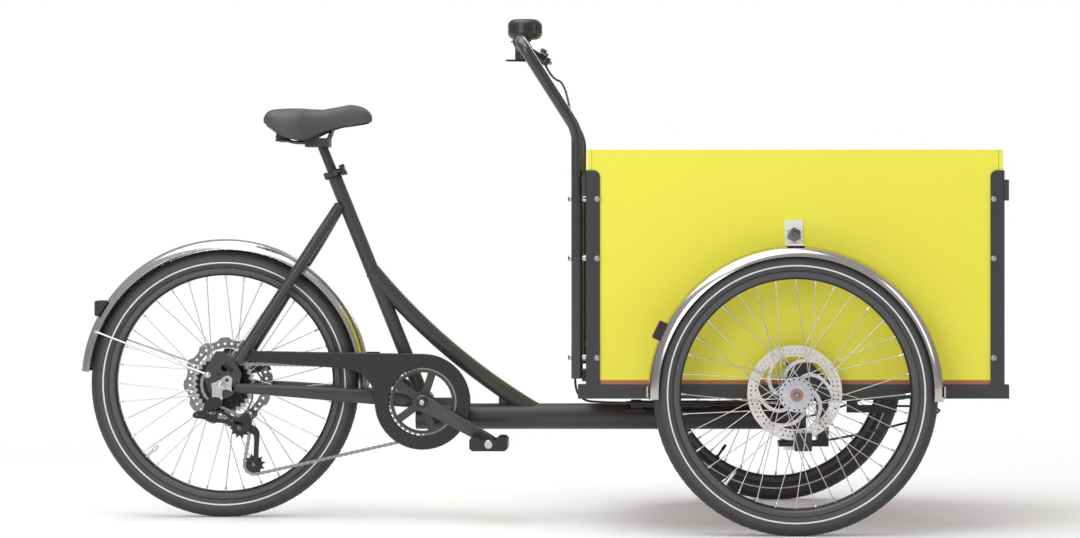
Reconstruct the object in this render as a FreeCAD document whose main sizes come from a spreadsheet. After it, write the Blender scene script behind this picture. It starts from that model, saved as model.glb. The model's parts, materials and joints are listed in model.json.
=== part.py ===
import FreeCAD, Part
import math
import os
import re
from FreeCAD import Placement, Rotation, Vector

# A cargo tricycle with two front wheels beside a box that steers as one carrier on a kingpin.
# Millimetres. +X is forward, +Y is the rider's left, +Z is up. Places along X are counted from the rear
# axle and heights from the axles, unless a heading says otherwise. Both are then shifted, so that the
# origin lies on the ground under the middle of the tricycle.

SIZES = {
    # Shared
    "overrun": 5, "running_gap": 0.05, "seat_gap": 0.3, "bolt_radius": 3,
    # Layout
    "wheelbase": 1261, "wheel_gap": 70, "kingpin_lead": 14, "bracket_clear": 147.5, "bracket_z": -38.5,
    # Wheels
    "wheel_radius": 300.5, "tyre_section": 47, "tyre_wall": 3, "rim_width": 30, "rim_flange": 3,
    "rim_flange_height": 5.5, "rim_shoulder": 3.5, "rim_depth": 10.5, "rim_inner_width": 18,
    "spoke_radius": 1, "spoke_lay": 2.2, "spoke_depth": 1.5, "flange_thickness": 4, "flange_lip": 4,
    # Brake rotors and calipers
    "rotor_radius": 101.5, "rotor_band": 18, "rotor_thickness": 2, "rotor_core": 30, "rotor_bore": 17,
    "rotor_arm": 7, "rotor_hole": 2.6, "rotor_hole_edge": 4.6, "rotor_hole_step": 7.4, "caliper_length": 36,
    "caliper_height": 38, "caliper_drop": 5, "caliper_lip": 15, "pad_gap": 0.6, "rear_caliper_reach": 95,
    "rear_caliper_long": 34, "rear_caliper_tall": 30, "rear_caliper_inner": 36,
    # Front hubs and stub axles
    "axle_radius": 10, "hub_barrel": 15, "hub_nose": 20, "front_flange_in": 33, "front_flange_out": 37,
    "front_flange_in_y": 24, "front_flange_out_y": 28, "hub_nose_length": 40, "hub_root_length": 45,
    "front_rotor_y": 39, "rotor_seat": 24, "washer_radius": 13.6, "washer_thickness": 2,
    "axle_bolt_head": 7, "axle_bolt_height": 5,
    # Rear hub, axle and cassette
    "rear_axle_radius": 6, "rear_axle_half": 90, "dropout_y": 67.5, "dropout_thickness": 6,
    "rear_flange": 30, "rear_flange_right": 24, "rear_flange_left": 30, "rear_hub_right": 28,
    "rear_hub_left": 58, "rear_rotor_y": 45, "axle_nut": 11, "axle_nut_height": 8, "axle_spacer": 10,
    "cog_first_y": 62, "cog_pitch": 5, "cog_thickness": 2, "cog_core": 16, "hanger_thickness": 4,
    # Chain and sprockets
    "chain_pitch": 12.7, "roller_radius": 3.9, "roller_gap": 0.2, "tooth_rise": 3.4,
    "sprocket_thickness": 2, "plate_thickness": 1, "inner_width": 3, "plate_half_height": 4,
    "plate_waist": 2.6, "guide_x": 40, "guide_z": -96.5, "cage_length": 88, "pulley_bore": 3,
    "cage_plate": 2, "cage_gap": 5.2, "cage_half_width": 7, "link_span": 104, "link_half_width": 9,
    "link_pivot_x": 13, "link_pivot_z": -39, "link_inset": 6, "knuckle_gap": 1.5,
    # Cranks and pedals
    "crank_length": 175, "crank_drop": 86, "crank_big_end": 17, "crank_small_end": 13,
    "crank_thickness": 14, "crank_y": 66, "crank_bevel": 3, "spindle_radius": 12, "spider_arm": 9,
    "ring_band": 8, "crank_boss": 15, "pedal_spindle": 4, "pedal_length": 84, "pedal_height": 30,
    "pedal_width": 88, "pedal_frame": 7, "pedal_barrel": 11, "pedal_clear": 6, "pedal_corner": 6,
    "pedal_bar_height": 18, "pedal_notch": 6, "pedal_block": 20, "bracket_shell": 21, "bracket_half": 34,
    "cup_flange": 20, "cup_flange_thickness": 3, "cup_sleeve": 17, "cup_depth": 15,
    # Chain guard, counted from the bottom bracket but for the place of its tip
    "guard_y": 52, "guard_thickness": 8, "guard_ring": 107, "guard_window": 76, "guard_tip_x": 50,
    "guard_tip_top": 114, "guard_tip_low": 91, "guard_belly_x": -197, "guard_belly_z": 76,
    "guard_sweep": 70, "guard_edge": 2.5, "guard_post": 6, "guard_foot_x": -92,
    # Frame, along X counted from the bottom bracket
    "main_tube": 29, "main_tube_z": -74.5, "main_tube_x": -18, "main_tube_wall": 2.5, "head_tube": 24,
    "head_length": 103, "head_seat": 2, "head_clear": 1, "seat_tube": 15.5, "seat_tube_x": -207,
    "seat_tube_z": 477.5, "down_tube": 18.3, "down_tube_wall": 2, "down_top_z": 252.6, "down_mid_x": 75.5,
    "down_mid_z": 61, "down_foot_x": 272, "gusset_thickness": 6, "gusset_rear_x": 168,
    "gusset_top_z": -21.5, "gusset_front_x": 242, "web_top": 214.5, "web_low": 167.5, "web_reach": 26,
    "bridge_radius": 8,
    # Stays and dropouts, along X counted from the rear axle
    "seat_stay": 12, "stay_top_z": 399.5, "stay_top_back": 14.3, "stay_top_inset": 10, "knee_gap": 51,
    "knee_y": 46, "stay_curve": 45, "stay_foot_x": 36, "stay_foot_z": 51.5, "chain_stay_rear": 10.5,
    "chain_stay_x": 34, "chain_stay_z": -6.5, "chain_stay_tall": 16, "chain_stay_slim": 9, "hip_back": 6.4,
    "hip_y": 41.5, "hip_z": -27.5, "toe_x": -18, "toe_y": 24, "toe_slim": 8, "dropout_tip": 75,
    "dropout_low": 26, "dropout_front": 46, "dropout_window": 8, "eyelet_x": 29, "eyelet_z": 23,
    # Cable conduit, along X counted back from the kingpin
    "conduit_back": 350, "conduit_step": 185, "conduit_stop": 50, "saddle_bracket_length": 45,
    "saddle_bracket_width": 26, "saddle_bracket_height": 8, "conduit_radius": 9, "conduit_thin": 5,
    "joint_radius": 11, "joint_length": 24,
    # Saddle and seat post
    "post_radius": 11, "post_insert": 160, "post_travel": 60, "post_show": 64, "collar_radius": 20,
    "collar_height": 14, "skewer_radius": 3, "skewer_offset": 25, "ear_length": 22, "ear_height": 12,
    "skewer_nut": 8, "skewer_nut_height": 8, "lever_length": 46, "lever_thickness": 5, "lever_height": 12,
    "lever_barrel": 6.5, "clamp_back": 15.3, "clamp_length": 36, "clamp_width": 58, "clamp_height": 20,
    "rail_radius": 3.5, "rail_spread": 22, "rail_reach": 85, "rail_curve": 25, "rail_flat": 32,
    "rail_nose_y": 12, "bumper_back": 70, "bumper_y": 34, "bumper_radius": 12, "bumper_rise": 2,
    "bumper_rib": 3, "saddle_shell": 5, "shell_gap": 0.8, "saddle_back": 109, "saddle_length": 240,
    "saddle_half_width": 82, "saddle_rise": 87, "saddle_depth": 82,
    # Box and its frame
    "box_lead": 3, "box_length": 890, "box_half_width": 320, "panel_thickness": 10, "floor_rebate": 3,
    "floor_z": 15.5, "box_top_z": 518.5, "angle_size": 30, "angle_thickness": 3, "rail_tail": 20,
    "rail_nose": 13, "post_drop": 44, "post_round": 14, "beam_size": 30, "bearer_rear_inset": 181,
    "bearer_front_inset": 262, "yoke_width": 60, "yoke_plate": 10, "yoke_back": 30, "yoke_bar_lead": 57,
    "yoke_bar": 25, "kingpin_radius": 12, "kingpin_nut": 18, "kingpin_nut_height": 9, "axle_plate": 6,
    "axle_plate_back": 17, "axle_plate_lead": 81, "axle_plate_top": 62.5, "axle_plate_nose": 44,
    "hanger_width": 26, "hanger_drop": 17, "splitter_length": 111, "splitter_low": -59.5, "splitter_y": 100,
    "splitter_thickness": 4, "slot_length": 52, "slot_height": 11, "socket_radius": 5, "socket_bore": 3.6,
    "socket_length": 45, "socket_drop_rear": 55, "socket_drop_front": 64, "socket_out": 4.5, "bolt_head": 6,
    "bolt_head_height": 4, "bolt_inset": 21, "bolt_drop": 105.4, "bolt_rise": 57.6, "bolt_tail": 10,
    # Handlebar and controls
    "bar_radius": 12.5, "bar_wall": 2, "bar_standoff": 22, "bar_inset": 14, "bar_foot": 12.5,
    "bar_knee_rise": 42, "bar_knee": 90, "bar_sweep": 124, "bar_lift": 194, "bar_corner": 30,
    "bar_rise": 12, "bar_shoulder": 44, "bar_rise_curve": 60, "grip_radius": 16.5, "grip_length": 125,
    "grip_inset": 12, "perch_gap": 9, "perch_length": 24, "perch_radius": 17, "perch_reach": 52,
    "perch_width": 16, "perch_thickness": 12, "brake_lever_length": 128, "brake_lever_thickness": 8,
    "brake_lever_depth": 10, "brake_lever_hub": 8, "lever_pin": 3, "shifter_gap": 34, "shifter_radius": 18,
    "shifter_height": 17, "paddle_length": 40, "paddle_width": 14, "paddle_thickness": 4, "bell_gap": 26,
    "bell_radius": 39, "bell_height": 45, "bell_rise": 24, "bell_seam": 1.5, "bell_round": 14,
    "bell_neck": 8, "bell_clamp": 14, "thumb_reach": 54, "thumb_width": 12, "thumb_thickness": 3,
    "thumb_ring": 14,
    # Mudguards and lights
    "guard_half_width": 30, "guard_sheet": 1, "front_guard_gap": 13, "front_guard_lap": 9.5,
    "rear_guard_gap": 23.9, "rear_guard_lift": 2.5, "stay_wire": 2.2, "stay_clip": 4, "stay_wire_x": 286,
    "stay_wire_z": 117, "strap_width": 22, "strap_thickness": 2.5, "strap_lip": 15, "top_bracket_width": 38,
    "top_bracket_rise": 54, "top_bracket_thickness": 3.5, "top_bolt_rise": 23, "hex_corner": 15.6,
    "hex_height": 9, "marker_deep": 13, "marker_long": 40, "marker_wide": 26, "rear_light_deep": 20,
    "rear_light_long": 40, "rear_light_wide": 46,
    # Brake cables
    "cable_radius": 2.5, "cable_curve": 22, "cable_out": 8, "cable_lead": 45, "cable_loop_x": 87,
    "cable_loop_z": 105, "cable_drop": 11, "cable_lane": 11, "cable_loop": 40,
}

SPOKES_PER_FLANGE = 18
SPOKE_CROSS_DEG = 60
COG_TEETH = (13, 15, 18, 23, 26, 30, 34)
CHAIN_COG = 3
RING_TEETH = 38
PULLEY_TEETH = 11
ROLLER_CORNERS = 6
ROTOR_ARMS = 6
ROTOR_HOLES = 36
BUMPER_RIBS = 3
ROTOR_SWIRL_DEG = 38
SPIDER_ARMS = 5
FRONT_GUARD_DEG = (-3, 182)
REAR_GUARD_DEG = (-5, 175)
MARKER_DEG = 155
REAR_LIGHT_DEG = 150
REAR_CALIPER_DEG = 31
LOW_BRIDGE_DEG = -4
HIGH_BRIDGE_DEG = 57
CONDUIT_DEG = 45
PERCH_DEG = 32
PADDLE_DEG = 200
THUMB_DEG = 125
KNEE_DEG = 56.9
BORE_TRIM_SHARE = 0.08
BOLT_MIDDLE_SHARE = 0.626

# Outlines as shares of a width and a height: points, and arcs as their middle and end
DROPOUT_SHARES = (
    (-0.24, 1.00), (0.09, 1.00), (0.65, 0.75), (1.00, 0.33), (0.87, -0.04), (0.57, -0.28),
    (0.00, -0.40, -0.57, -0.21), (-0.79, 0.18), (-0.80, 0.43),
)
CALIPER_TAB_SHARES = ((-1.00, 0.35), (-0.27, 0.17), (-0.27, 0.80), (-0.80, 0.85))
HANGER_SHARES = ((-0.80, 0.80), (-0.80, -0.50), (0.00, -1.85), (1.00, -1.85), (1.00, 0.80))
DERAILLEUR_SHARES = (
    (-1.00, 0.50), (-0.96, 0.33), (-0.38, 0.25, -0.09, -0.16), (0.00, -0.19, 0.11, 0.00), (0.28, 0.00),
    (0.28, 0.25), (-0.09, 0.50), (-0.17, 0.94), (-0.26, 1.05, -0.35, 0.94), (-0.43, 0.65),
)
LEVER_SHARES = (
    (0.00, -0.60), (0.50, -0.90, 0.93, -0.25), (1.00, 0.30, 0.93, 0.65), (0.50, 0.10, 0.00, 0.60),
)

# Stations along the saddle from tail to nose: place along its length, half width, top and bottom
# of the cover, each as a share of the saddle's length, half width or depth below its highest point.
SADDLE_SHARES = (
    (0.000, 0.62, 0.36, 0.53),
    (0.045, 0.86, 0.17, 0.60),
    (0.180, 1.00, 0.13, 0.82),
    (0.330, 0.93, 0.13, 1.00),
    (0.560, 0.52, 0.13, 0.78),
    (0.800, 0.33, 0.01, 0.57),
    (0.950, 0.27, 0.04, 0.46),
    (1.000, 0.15, 0.24, 0.42),
)
# Shape of each station: half width of its foot and of its shoulder, height of its widest place and of
# its shoulder, and rise of its hollow underside.
FOOT_SHARE = 0.80
SHOULDER_SHARE = 0.74
WIDEST_SHARE = 0.50
SHOULDER_HEIGHT_SHARE = 0.88
HOLLOW_SHARE = 0.34

doc = FreeCAD.newDocument("cargo_tricycle")
sheet = doc.addObject("Spreadsheet::Sheet", "sizes")
for row, (alias, value) in enumerate(SIZES.items(), start=1):
    sheet.set(f"A{row}", alias)
    sheet.set(f"B{row}", str(value))
    sheet.setAlias(f"B{row}", alias)
doc.recompute()


class Sheet:
    """Reads a size from the spreadsheet by its alias."""

    def __getattr__(self, alias):
        return float(sheet.get(alias))


size = Sheet()
X = Vector(1, 0, 0)
Y = Vector(0, 1, 0)
Z = Vector(0, 0, 1)
RIGHT = -1
LEFT = 1
SIDES = (RIGHT, LEFT)
nodes = []

# Places that follow from the sizes
bead_radius = size.wheel_radius - size.tyre_section
front_crown = size.wheel_radius + size.front_guard_gap
front_edge = size.wheel_radius - size.front_guard_lap
rear_crown = size.wheel_radius + size.rear_guard_gap
rear_edge = size.wheel_radius + size.rear_guard_lift
bracket_x = size.wheel_radius + size.bracket_clear
kingpin_x = size.wheelbase + size.kingpin_lead
box_rear_x = size.wheelbase + size.box_lead - size.box_length / 2
box_front_x = box_rear_x + size.box_length
rail_rear = box_rear_x - size.rail_tail
rail_front = box_front_x + size.rail_nose
bearer_rear_x = box_rear_x + size.bearer_rear_inset
bearer_front_x = box_front_x - size.bearer_front_inset
rail_low = size.floor_z - size.angle_size
head_high = rail_low - size.yoke_plate - size.head_clear
head_low = head_high - size.head_length
yoke_low = head_low - size.head_seat - size.yoke_plate
half_track = size.box_half_width + size.wheel_gap
hanger_low = -size.rotor_radius - size.hanger_drop

rear_end = rear_crown * math.cos(math.radians(180 - REAR_GUARD_DEG[1]))
origin_x = (rail_front - rear_end) / 2


def at(x, y, z):
    """A point, with x counted from the rear axle and z from the axles."""
    return Vector(x - origin_x, y, z + size.wheel_radius)


def bind(thing, **expressions):
    """Ties properties of an object to expressions on the sheet's aliases."""
    for prop, text in expressions.items():
        thing.setExpression(prop, re.sub(r"[a-z]\w*", lambda word: "sizes." + word.group(0), text))


def node(label, thing):
    """Names a finished sub-part and keeps it for the export."""
    thing.Label = label
    nodes.append(thing)
    return thing


def rod(radius, length, start, along):
    """Round bar, with its radius and length as expressions."""
    bar = doc.addObject("Part::Cylinder", "rod")
    bind(bar, Radius=radius, Height=length)
    bar.Placement = Placement(start, Rotation(Z, along))
    return bar


def rod_between(radius, start, end):
    """Round bar from one point to another."""
    bar = doc.addObject("Part::Cylinder", "rod")
    bind(bar, Radius=radius)
    bar.Height = (end - start).Length
    bar.Placement = Placement(start, Rotation(Z, end - start))
    return bar


def block(low, high, rotation=Rotation(), base=Vector()):
    """Box between two corners, turned about a base point."""
    solid = doc.addObject("Part::Box", "block")
    solid.Length = high.x - low.x
    solid.Width = high.y - low.y
    solid.Height = high.z - low.z
    solid.Placement = Placement(base, rotation).multiply(Placement(low, Rotation()))
    return solid


def joined(pieces):
    fused = doc.addObject("Part::MultiFuse", "joined")
    fused.Shapes = pieces
    return fused


def cut(base, tool):
    result = doc.addObject("Part::Cut", "cut")
    result.Base = base
    result.Tool = tool
    return result


def group(pieces):
    """Separate solids that share one node."""
    bundle = doc.addObject("Part::Compound", "group")
    bundle.Links = pieces
    return bundle


def ring(outer, inner, length, start, along):
    """Round sleeve with a through bore."""
    overrun = along * size.overrun
    bore = rod(inner, f"{length} + 2 * overrun", start - overrun, along)
    return cut(rod(outer, length, start, along), bore)


def draw(sketch, outline):
    """Draws one closed outline: a circle, or points joined by lines and three-point arcs."""
    if outline[0] == "circle":
        _, x, y, radius = outline
        sketch.addGeometry(Part.Circle(Vector(x, y, 0), Z, radius))
        return
    here = Vector(*outline[0], 0)
    first = here
    for step in list(outline[1:]) + [outline[0]]:
        end = first if step is outline[0] else Vector(*step[-2:], 0)
        if len(step) == 4:
            sketch.addGeometry(Part.Arc(here, Vector(*step[:2], 0), end))
        elif (end - here).Length > 0:
            sketch.addGeometry(Part.LineSegment(here, end))
        here = end


def sketch_on(body, role, outlines):
    """Sketch of closed outlines on one of the body's own origin planes."""
    sketch = body.newObject("Sketcher::SketchObject", "outline")
    plane = [p for p in body.Origin.OriginFeatures if p.Role == role][0]
    sketch.AttachmentSupport = (plane, "")
    sketch.MapMode = "FlatFace"
    for outline in outlines:
        draw(sketch, outline)
    return sketch


def plate(name, outlines, thickness, placement):
    """Flat piece cut to its outlines, with its thickness as an expression."""
    body = doc.addObject("PartDesign::Body", name)
    pad = body.newObject("PartDesign::Pad", "thickness")
    pad.Profile = sketch_on(body, "XY_Plane", outlines)
    bind(pad, Length=thickness)
    body.Tip = pad
    body.Placement = placement
    return body


def eased(body, kind, amount):
    """Rounds or bevels the edges of a flat piece's outer face; kind is Fillet or Chamfer."""
    doc.recompute()
    base = body.Tip
    height = base.Shape.BoundBox.ZMax
    names = []
    for index, edge in enumerate(base.Shape.Edges, start=1):
        box = edge.BoundBox
        if abs(box.ZMin - height) < size.running_gap and abs(box.ZMax - height) < size.running_gap:
            names.append(f"Edge{index}")
    easing = body.newObject("PartDesign::" + kind, "easing")
    easing.Base = (base, names)
    bind(easing, **{"Radius" if kind == "Fillet" else "Size": amount})
    body.Tip = easing
    return body


def turned(name, outline, centre, along, middle=None, angle=360):
    """Round piece from an outline of radius and place along its axis."""
    body = doc.addObject("PartDesign::Body", name)
    sketch = sketch_on(body, "XZ_Plane", [outline])
    spin = body.newObject("PartDesign::Revolution", "turning")
    spin.Profile = sketch
    spin.ReferenceAxis = (sketch, ["V_Axis"])
    spin.Angle = angle
    spin.Midplane = True
    body.Tip = spin
    if middle is None:
        turn = Rotation(Z, along)
    else:
        turn = Rotation(middle, along.cross(middle), along, "ZXY")
    body.Placement = Placement(centre, turn)
    return body


def upright(y, side=RIGHT, x=0, z=0):
    """Placement of a flat piece that stands lengthwise and grows towards the side."""
    if side == RIGHT:
        turn = Rotation(X, Z, -Y, "ZXY")
    else:
        turn = Rotation(-X, Z, Y, "ZXY")
    return Placement(at(x, y, z), turn)


def mirrored(thing):
    """The same piece on the other side of the tricycle."""
    twin = doc.addObject("Part::Mirroring", "twin")
    twin.Source = thing
    twin.Normal = Y
    twin.Base = Vector()
    return twin


def route(points, bends):
    """Straight runs joined by tangent arcs, one bend radius for each inner point."""
    edges = []
    here = points[0]
    for before, corner, after, bend in zip(points, points[1:], points[2:], bends):
        coming = (corner - before).normalize()
        leaving = (after - corner).normalize()
        half_turn = coming.getAngle(leaving) / 2
        reach = bend * math.tan(half_turn)
        inward = (leaving - coming).normalize()
        start = corner - coming * reach
        end = corner + leaving * reach
        middle = corner + inward * (bend / math.cos(half_turn) - bend)
        edges.append(Part.LineSegment(here, start).toShape())
        edges.append(Part.Arc(start, middle, end).toShape())
        here = end
    edges.append(Part.LineSegment(here, points[-1]).toShape())
    return Part.Wire(edges)


def swept(radius, wire, start, along):
    """Round bar along a wire, with its radius as an expression."""
    spine = doc.addObject("Part::Feature", "spine")
    spine.Shape = wire
    section = doc.addObject("Part::Circle", "section")
    bind(section, Radius=radius)
    section.Placement = Placement(start, Rotation(Z, along))
    bar = doc.addObject("Part::Sweep", "swept")
    bar.Sections = [section]
    bar.Spine = (spine, [f"Edge{i + 1}" for i in range(len(wire.Edges))])
    bar.Solid = True
    return bar


def bent(radius, points, bends, bore=None):
    """Bent bar or tube through points; bore is the inner radius as an expression."""
    wire = route(points, bends)
    along = points[1] - points[0]
    bar = swept(radius, wire, points[0], along)
    if bore is None:
        return bar
    return cut(bar, swept(bore, wire, points[0], along))


def shared(shares, wide, tall):
    """Outline from a table of shares of a width and a height."""
    return [tuple(value * (tall if i % 2 else wide) for i, value in enumerate(point)) for point in shares]


def polar(radius, degrees):
    """Offset in the plane of the wheels, counted from straight ahead towards up."""
    turn = math.radians(degrees)
    return Vector(radius * math.cos(turn), 0, radius * math.sin(turn))


# Wheels

def tyre_outline():
    half = size.tyre_section / 2
    bead = size.rim_width / 2 - size.rim_flange
    middle = size.wheel_radius - half
    lip = bead_radius + size.rim_flange_height
    wall = size.tyre_wall
    return [
        (bead_radius, bead), (lip, bead), (middle, half, size.wheel_radius, 0), (middle, -half, lip, -bead),
        (bead_radius, -bead), (bead_radius, wall - bead), (lip, wall - bead),
        (middle, wall - half, size.wheel_radius - wall, 0), (middle, half - wall, lip, bead - wall),
        (bead_radius, bead - wall),
    ]


def rim_outline():
    half = size.rim_width / 2
    well = half - size.rim_flange
    lip = bead_radius + size.rim_flange_height
    shoulder = bead_radius - size.rim_shoulder
    inner = bead_radius - size.rim_depth
    foot = size.rim_inner_width / 2
    return [
        (lip, half), (lip, well), (bead_radius, well), (bead_radius, -well), (lip, -well), (lip, -half),
        (shoulder, -half), (inner, -foot), (inner, foot), (shoulder, half),
    ]


def spokes(centre, out, flanges):
    """Crossed spokes; each flange is its place along the axle and its radius."""
    inner = bead_radius - size.rim_depth
    bars = []
    for index, (place, radius) in enumerate(flanges):
        hole_radius = radius - size.flange_lip
        for i in range(SPOKES_PER_FLANGE):
            lean = 1 if i % 2 else -1
            hub_deg = (2 * i + index) * 180 / SPOKES_PER_FLANGE
            rim_deg = hub_deg + lean * SPOKE_CROSS_DEG
            start = centre + polar(hole_radius, hub_deg) + out * (place + lean * size.spoke_lay)
            end = centre + polar(inner + size.spoke_depth, rim_deg)
            bars.append(rod_between("spoke_radius", start, end))
    return group(bars)


def rotor_windows(outer, inner):
    """Openings between the swept arms of a brake rotor."""
    step = 360 / ROTOR_ARMS
    outer_slack = math.degrees(size.rotor_arm / outer)
    inner_slack = math.degrees(size.rotor_arm / inner) / 2
    windows = []
    for i in range(ROTOR_ARMS):
        points = []
        for radius, turn, slack in ((outer, 0, outer_slack), (inner, ROTOR_SWIRL_DEG, inner_slack)):
            first = i * step + turn + slack
            last = (i + 1) * step + turn - slack
            points.append([polar(radius, deg) for deg in (first, (first + last) / 2, last)])
        (a, b, c), (e, f, g) = points
        windows.append([(a.x, a.z), (b.x, b.z, c.x, c.z), (g.x, g.z), (f.x, f.z, e.x, e.z)])
    return windows


def rotor(name, centre, out, place):
    """Brake disc with its inner face towards the hub."""
    outer = size.rotor_radius - size.rotor_band
    outlines = [("circle", 0, 0, size.rotor_radius), ("circle", 0, 0, size.rotor_bore)]
    outlines += rotor_windows(outer, size.rotor_core)
    for ring_index in range(2):
        reach = size.rotor_radius - size.rotor_hole_edge - ring_index * size.rotor_hole_step
        for i in range(ROTOR_HOLES):
            hole = polar(reach, (i + ring_index / 2) * 360 / ROTOR_HOLES)
            outlines.append(("circle", hole.x, hole.z, size.rotor_hole))
    turn = Rotation(X, out.cross(X), out, "ZXY")
    return plate(name, outlines, "rotor_thickness", Placement(centre + out * place, turn))


def wheel(prefix, centre, out, flanges, hub, rotor_place):
    """Tyre, rim, spokes, hub and brake rotor about one axle."""
    node(prefix + "_tyre", turned(prefix + "_tyre_body", tyre_outline(), centre, out))
    node(prefix + "_rim", turned(prefix + "_rim_body", rim_outline(), centre, out))
    node(prefix + "_spokes", spokes(centre, out, flanges))
    node(prefix + "_hub", turned(prefix + "_hub_body", hub, centre, out))
    node(prefix + "_rotor", rotor(prefix + "_rotor_body", centre, out, rotor_place))


def flange_steps(place, radius, barrel):
    """Outline steps of one spoke flange on a hub barrel."""
    half = size.flange_thickness / 2
    return [(barrel, place - half), (radius, place - half), (radius, place + half), (barrel, place + half)]


def front_hub_outline():
    bore = size.axle_radius + size.running_gap
    seat = -size.front_rotor_y + size.rotor_thickness
    steps = [(bore, -size.hub_root_length), (size.rotor_bore, -size.hub_root_length), (size.rotor_bore, seat)]
    steps += [(size.rotor_seat, seat), (size.rotor_seat, -size.front_flange_in_y - size.flange_thickness)]
    steps += flange_steps(-size.front_flange_in_y, size.front_flange_in, size.hub_barrel)
    steps += flange_steps(size.front_flange_out_y, size.front_flange_out, size.hub_barrel)[:3]
    steps += [(size.hub_nose, size.front_flange_out_y + size.flange_thickness)]
    steps += [(size.hub_nose, size.hub_nose_length), (bore, size.hub_nose_length)]
    return steps


def rear_hub_outline():
    bore = size.rear_axle_radius + size.running_gap
    seat = size.rear_rotor_y
    steps = [(bore, -size.rear_hub_right), (size.hub_barrel, -size.rear_hub_right)]
    steps += flange_steps(-size.rear_flange_right, size.rear_flange, size.hub_barrel)
    steps += flange_steps(size.rear_flange_left, size.rear_flange, size.hub_barrel)
    steps += [(size.rotor_seat, seat - size.flange_thickness), (size.rotor_seat, seat), (size.rotor_bore, seat)]
    steps += [(size.rotor_bore, size.rear_hub_left), (bore, size.rear_hub_left)]
    return steps


rear_axle = at(0, 0, 0)
wheel("rear", rear_axle, Y,
      [(-size.rear_flange_right, size.rear_flange), (size.rear_flange_left, size.rear_flange)],
      rear_hub_outline(), size.rear_rotor_y)

front_flanges = [
    (-size.front_flange_in_y, size.front_flange_in),
    (size.front_flange_out_y, size.front_flange_out),
]
front_axles = {}
for side, prefix in ((RIGHT, "front_right"), (LEFT, "front_left")):
    front_axles[side] = at(size.wheelbase, side * half_track, 0)
    wheel(prefix, front_axles[side], Y * side, front_flanges, front_hub_outline(), -size.front_rotor_y)


# Chain path and sprockets, in the plane of the chain

def pitch_radius(teeth):
    return size.chain_pitch / (2 * math.sin(math.pi / teeth))


chain_y = -(size.cog_first_y - CHAIN_COG * size.cog_pitch)


class Sprocket:
    """A chain wheel's centre, teeth and sense of turning, with the angles where the chain meets it."""

    def __init__(self, x, z, teeth, sense):
        self.x = x
        self.z = z
        self.teeth = teeth
        self.sense = sense
        self.radius = pitch_radius(teeth)


def tangent(first, second):
    """Angles at which the chain leaves one sprocket and meets the next."""
    dx = second.x - first.x
    dz = second.z - first.z
    distance = math.hypot(dx, dz)
    bearing = math.atan2(dz, dx)
    offset = math.asin((first.sense * first.radius - second.sense * second.radius) / distance)
    heading = bearing + offset
    return heading, distance * math.cos(offset)


def chain_course(cage_angle):
    """The four sprockets in the chain's order, each with its run to the next, counted in links."""
    tension_x = size.guide_x + size.cage_length * math.cos(cage_angle)
    tension_z = size.guide_z + size.cage_length * math.sin(cage_angle)
    wheels = [
        Sprocket(0, 0, COG_TEETH[CHAIN_COG], -1),
        Sprocket(bracket_x, size.bracket_z, RING_TEETH, -1),
        Sprocket(tension_x, tension_z, PULLEY_TEETH, -1),
        Sprocket(size.guide_x, size.guide_z, PULLEY_TEETH, 1),
    ]
    runs = []
    for first, second in zip(wheels, wheels[1:] + wheels[:1]):
        runs.append(tangent(first, second))
    total = 0
    for i, wheel_here in enumerate(wheels):
        coming = runs[i - 1][0]
        heading, length = runs[i]
        wrap = (heading - coming) * wheel_here.sense % (2 * math.pi)
        wheel_here.start = coming - wheel_here.sense * math.pi / 2
        wheel_here.wrap_links = wrap * wheel_here.teeth / (2 * math.pi)
        wheel_here.heading = heading
        wheel_here.run_links = length / size.chain_pitch
        total += wheel_here.wrap_links + wheel_here.run_links
    return wheels, total


def settle_cage():
    """Swings the cage until the chain closes on a whole, even number of links."""
    low = math.radians(-80)
    high = math.radians(-50)
    wanted = 2 * round(chain_course((low + high) / 2)[1] / 2)
    rising = chain_course(high)[1] > chain_course(low)[1]
    for _ in range(60):
        middle = (low + high) / 2
        if (chain_course(middle)[1] < wanted) == rising:
            low = middle
        else:
            high = middle
    return middle, wanted


cage_angle, link_count = settle_cage()
course, _ = chain_course(cage_angle)
cog_wheel, ring_wheel, tension_wheel, guide_wheel = course


def chain_point(links):
    """Roller centre at a count of links along the course."""
    for here in course:
        if links <= here.wrap_links:
            turn = here.start + here.sense * links * 2 * math.pi / here.teeth
            return here.x + here.radius * math.cos(turn), here.z + here.radius * math.sin(turn)
        links -= here.wrap_links
        if links <= here.run_links:
            turn = here.start + here.sense * here.wrap_links * 2 * math.pi / here.teeth
            x = here.x + here.radius * math.cos(turn) + links * size.chain_pitch * math.cos(here.heading)
            z = here.z + here.radius * math.sin(turn) + links * size.chain_pitch * math.sin(here.heading)
            return x, z
        links -= here.run_links
    return chain_point(0)


def first_gap(sprocket):
    """Angle of a tooth gap that holds a roller."""
    links = 0
    for here in course:
        if here is sprocket:
            lead = math.ceil(links) - links
            return here.start + here.sense * lead * 2 * math.pi / here.teeth
        links += here.wrap_links + here.run_links
    return 0


def toothed(teeth, gap_angle):
    """Outline of a sprocket whose gaps clear the rollers."""
    radius = pitch_radius(teeth)
    seat = (size.roller_radius + size.roller_gap) / math.cos(math.pi / 8)
    tip = radius + size.tooth_rise
    points = []
    for i in range(teeth):
        middle = gap_angle + i * 2 * math.pi / teeth
        for lean in (-3, -1, 1, 3):
            turn = middle + math.pi + lean * math.pi / 8
            points.append((radius * math.cos(middle) + seat * math.cos(turn),
                           radius * math.sin(middle) + seat * math.sin(turn)))
        crest = middle + math.pi / teeth
        points.append((tip * math.cos(crest), tip * math.sin(crest)))
    return points


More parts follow.
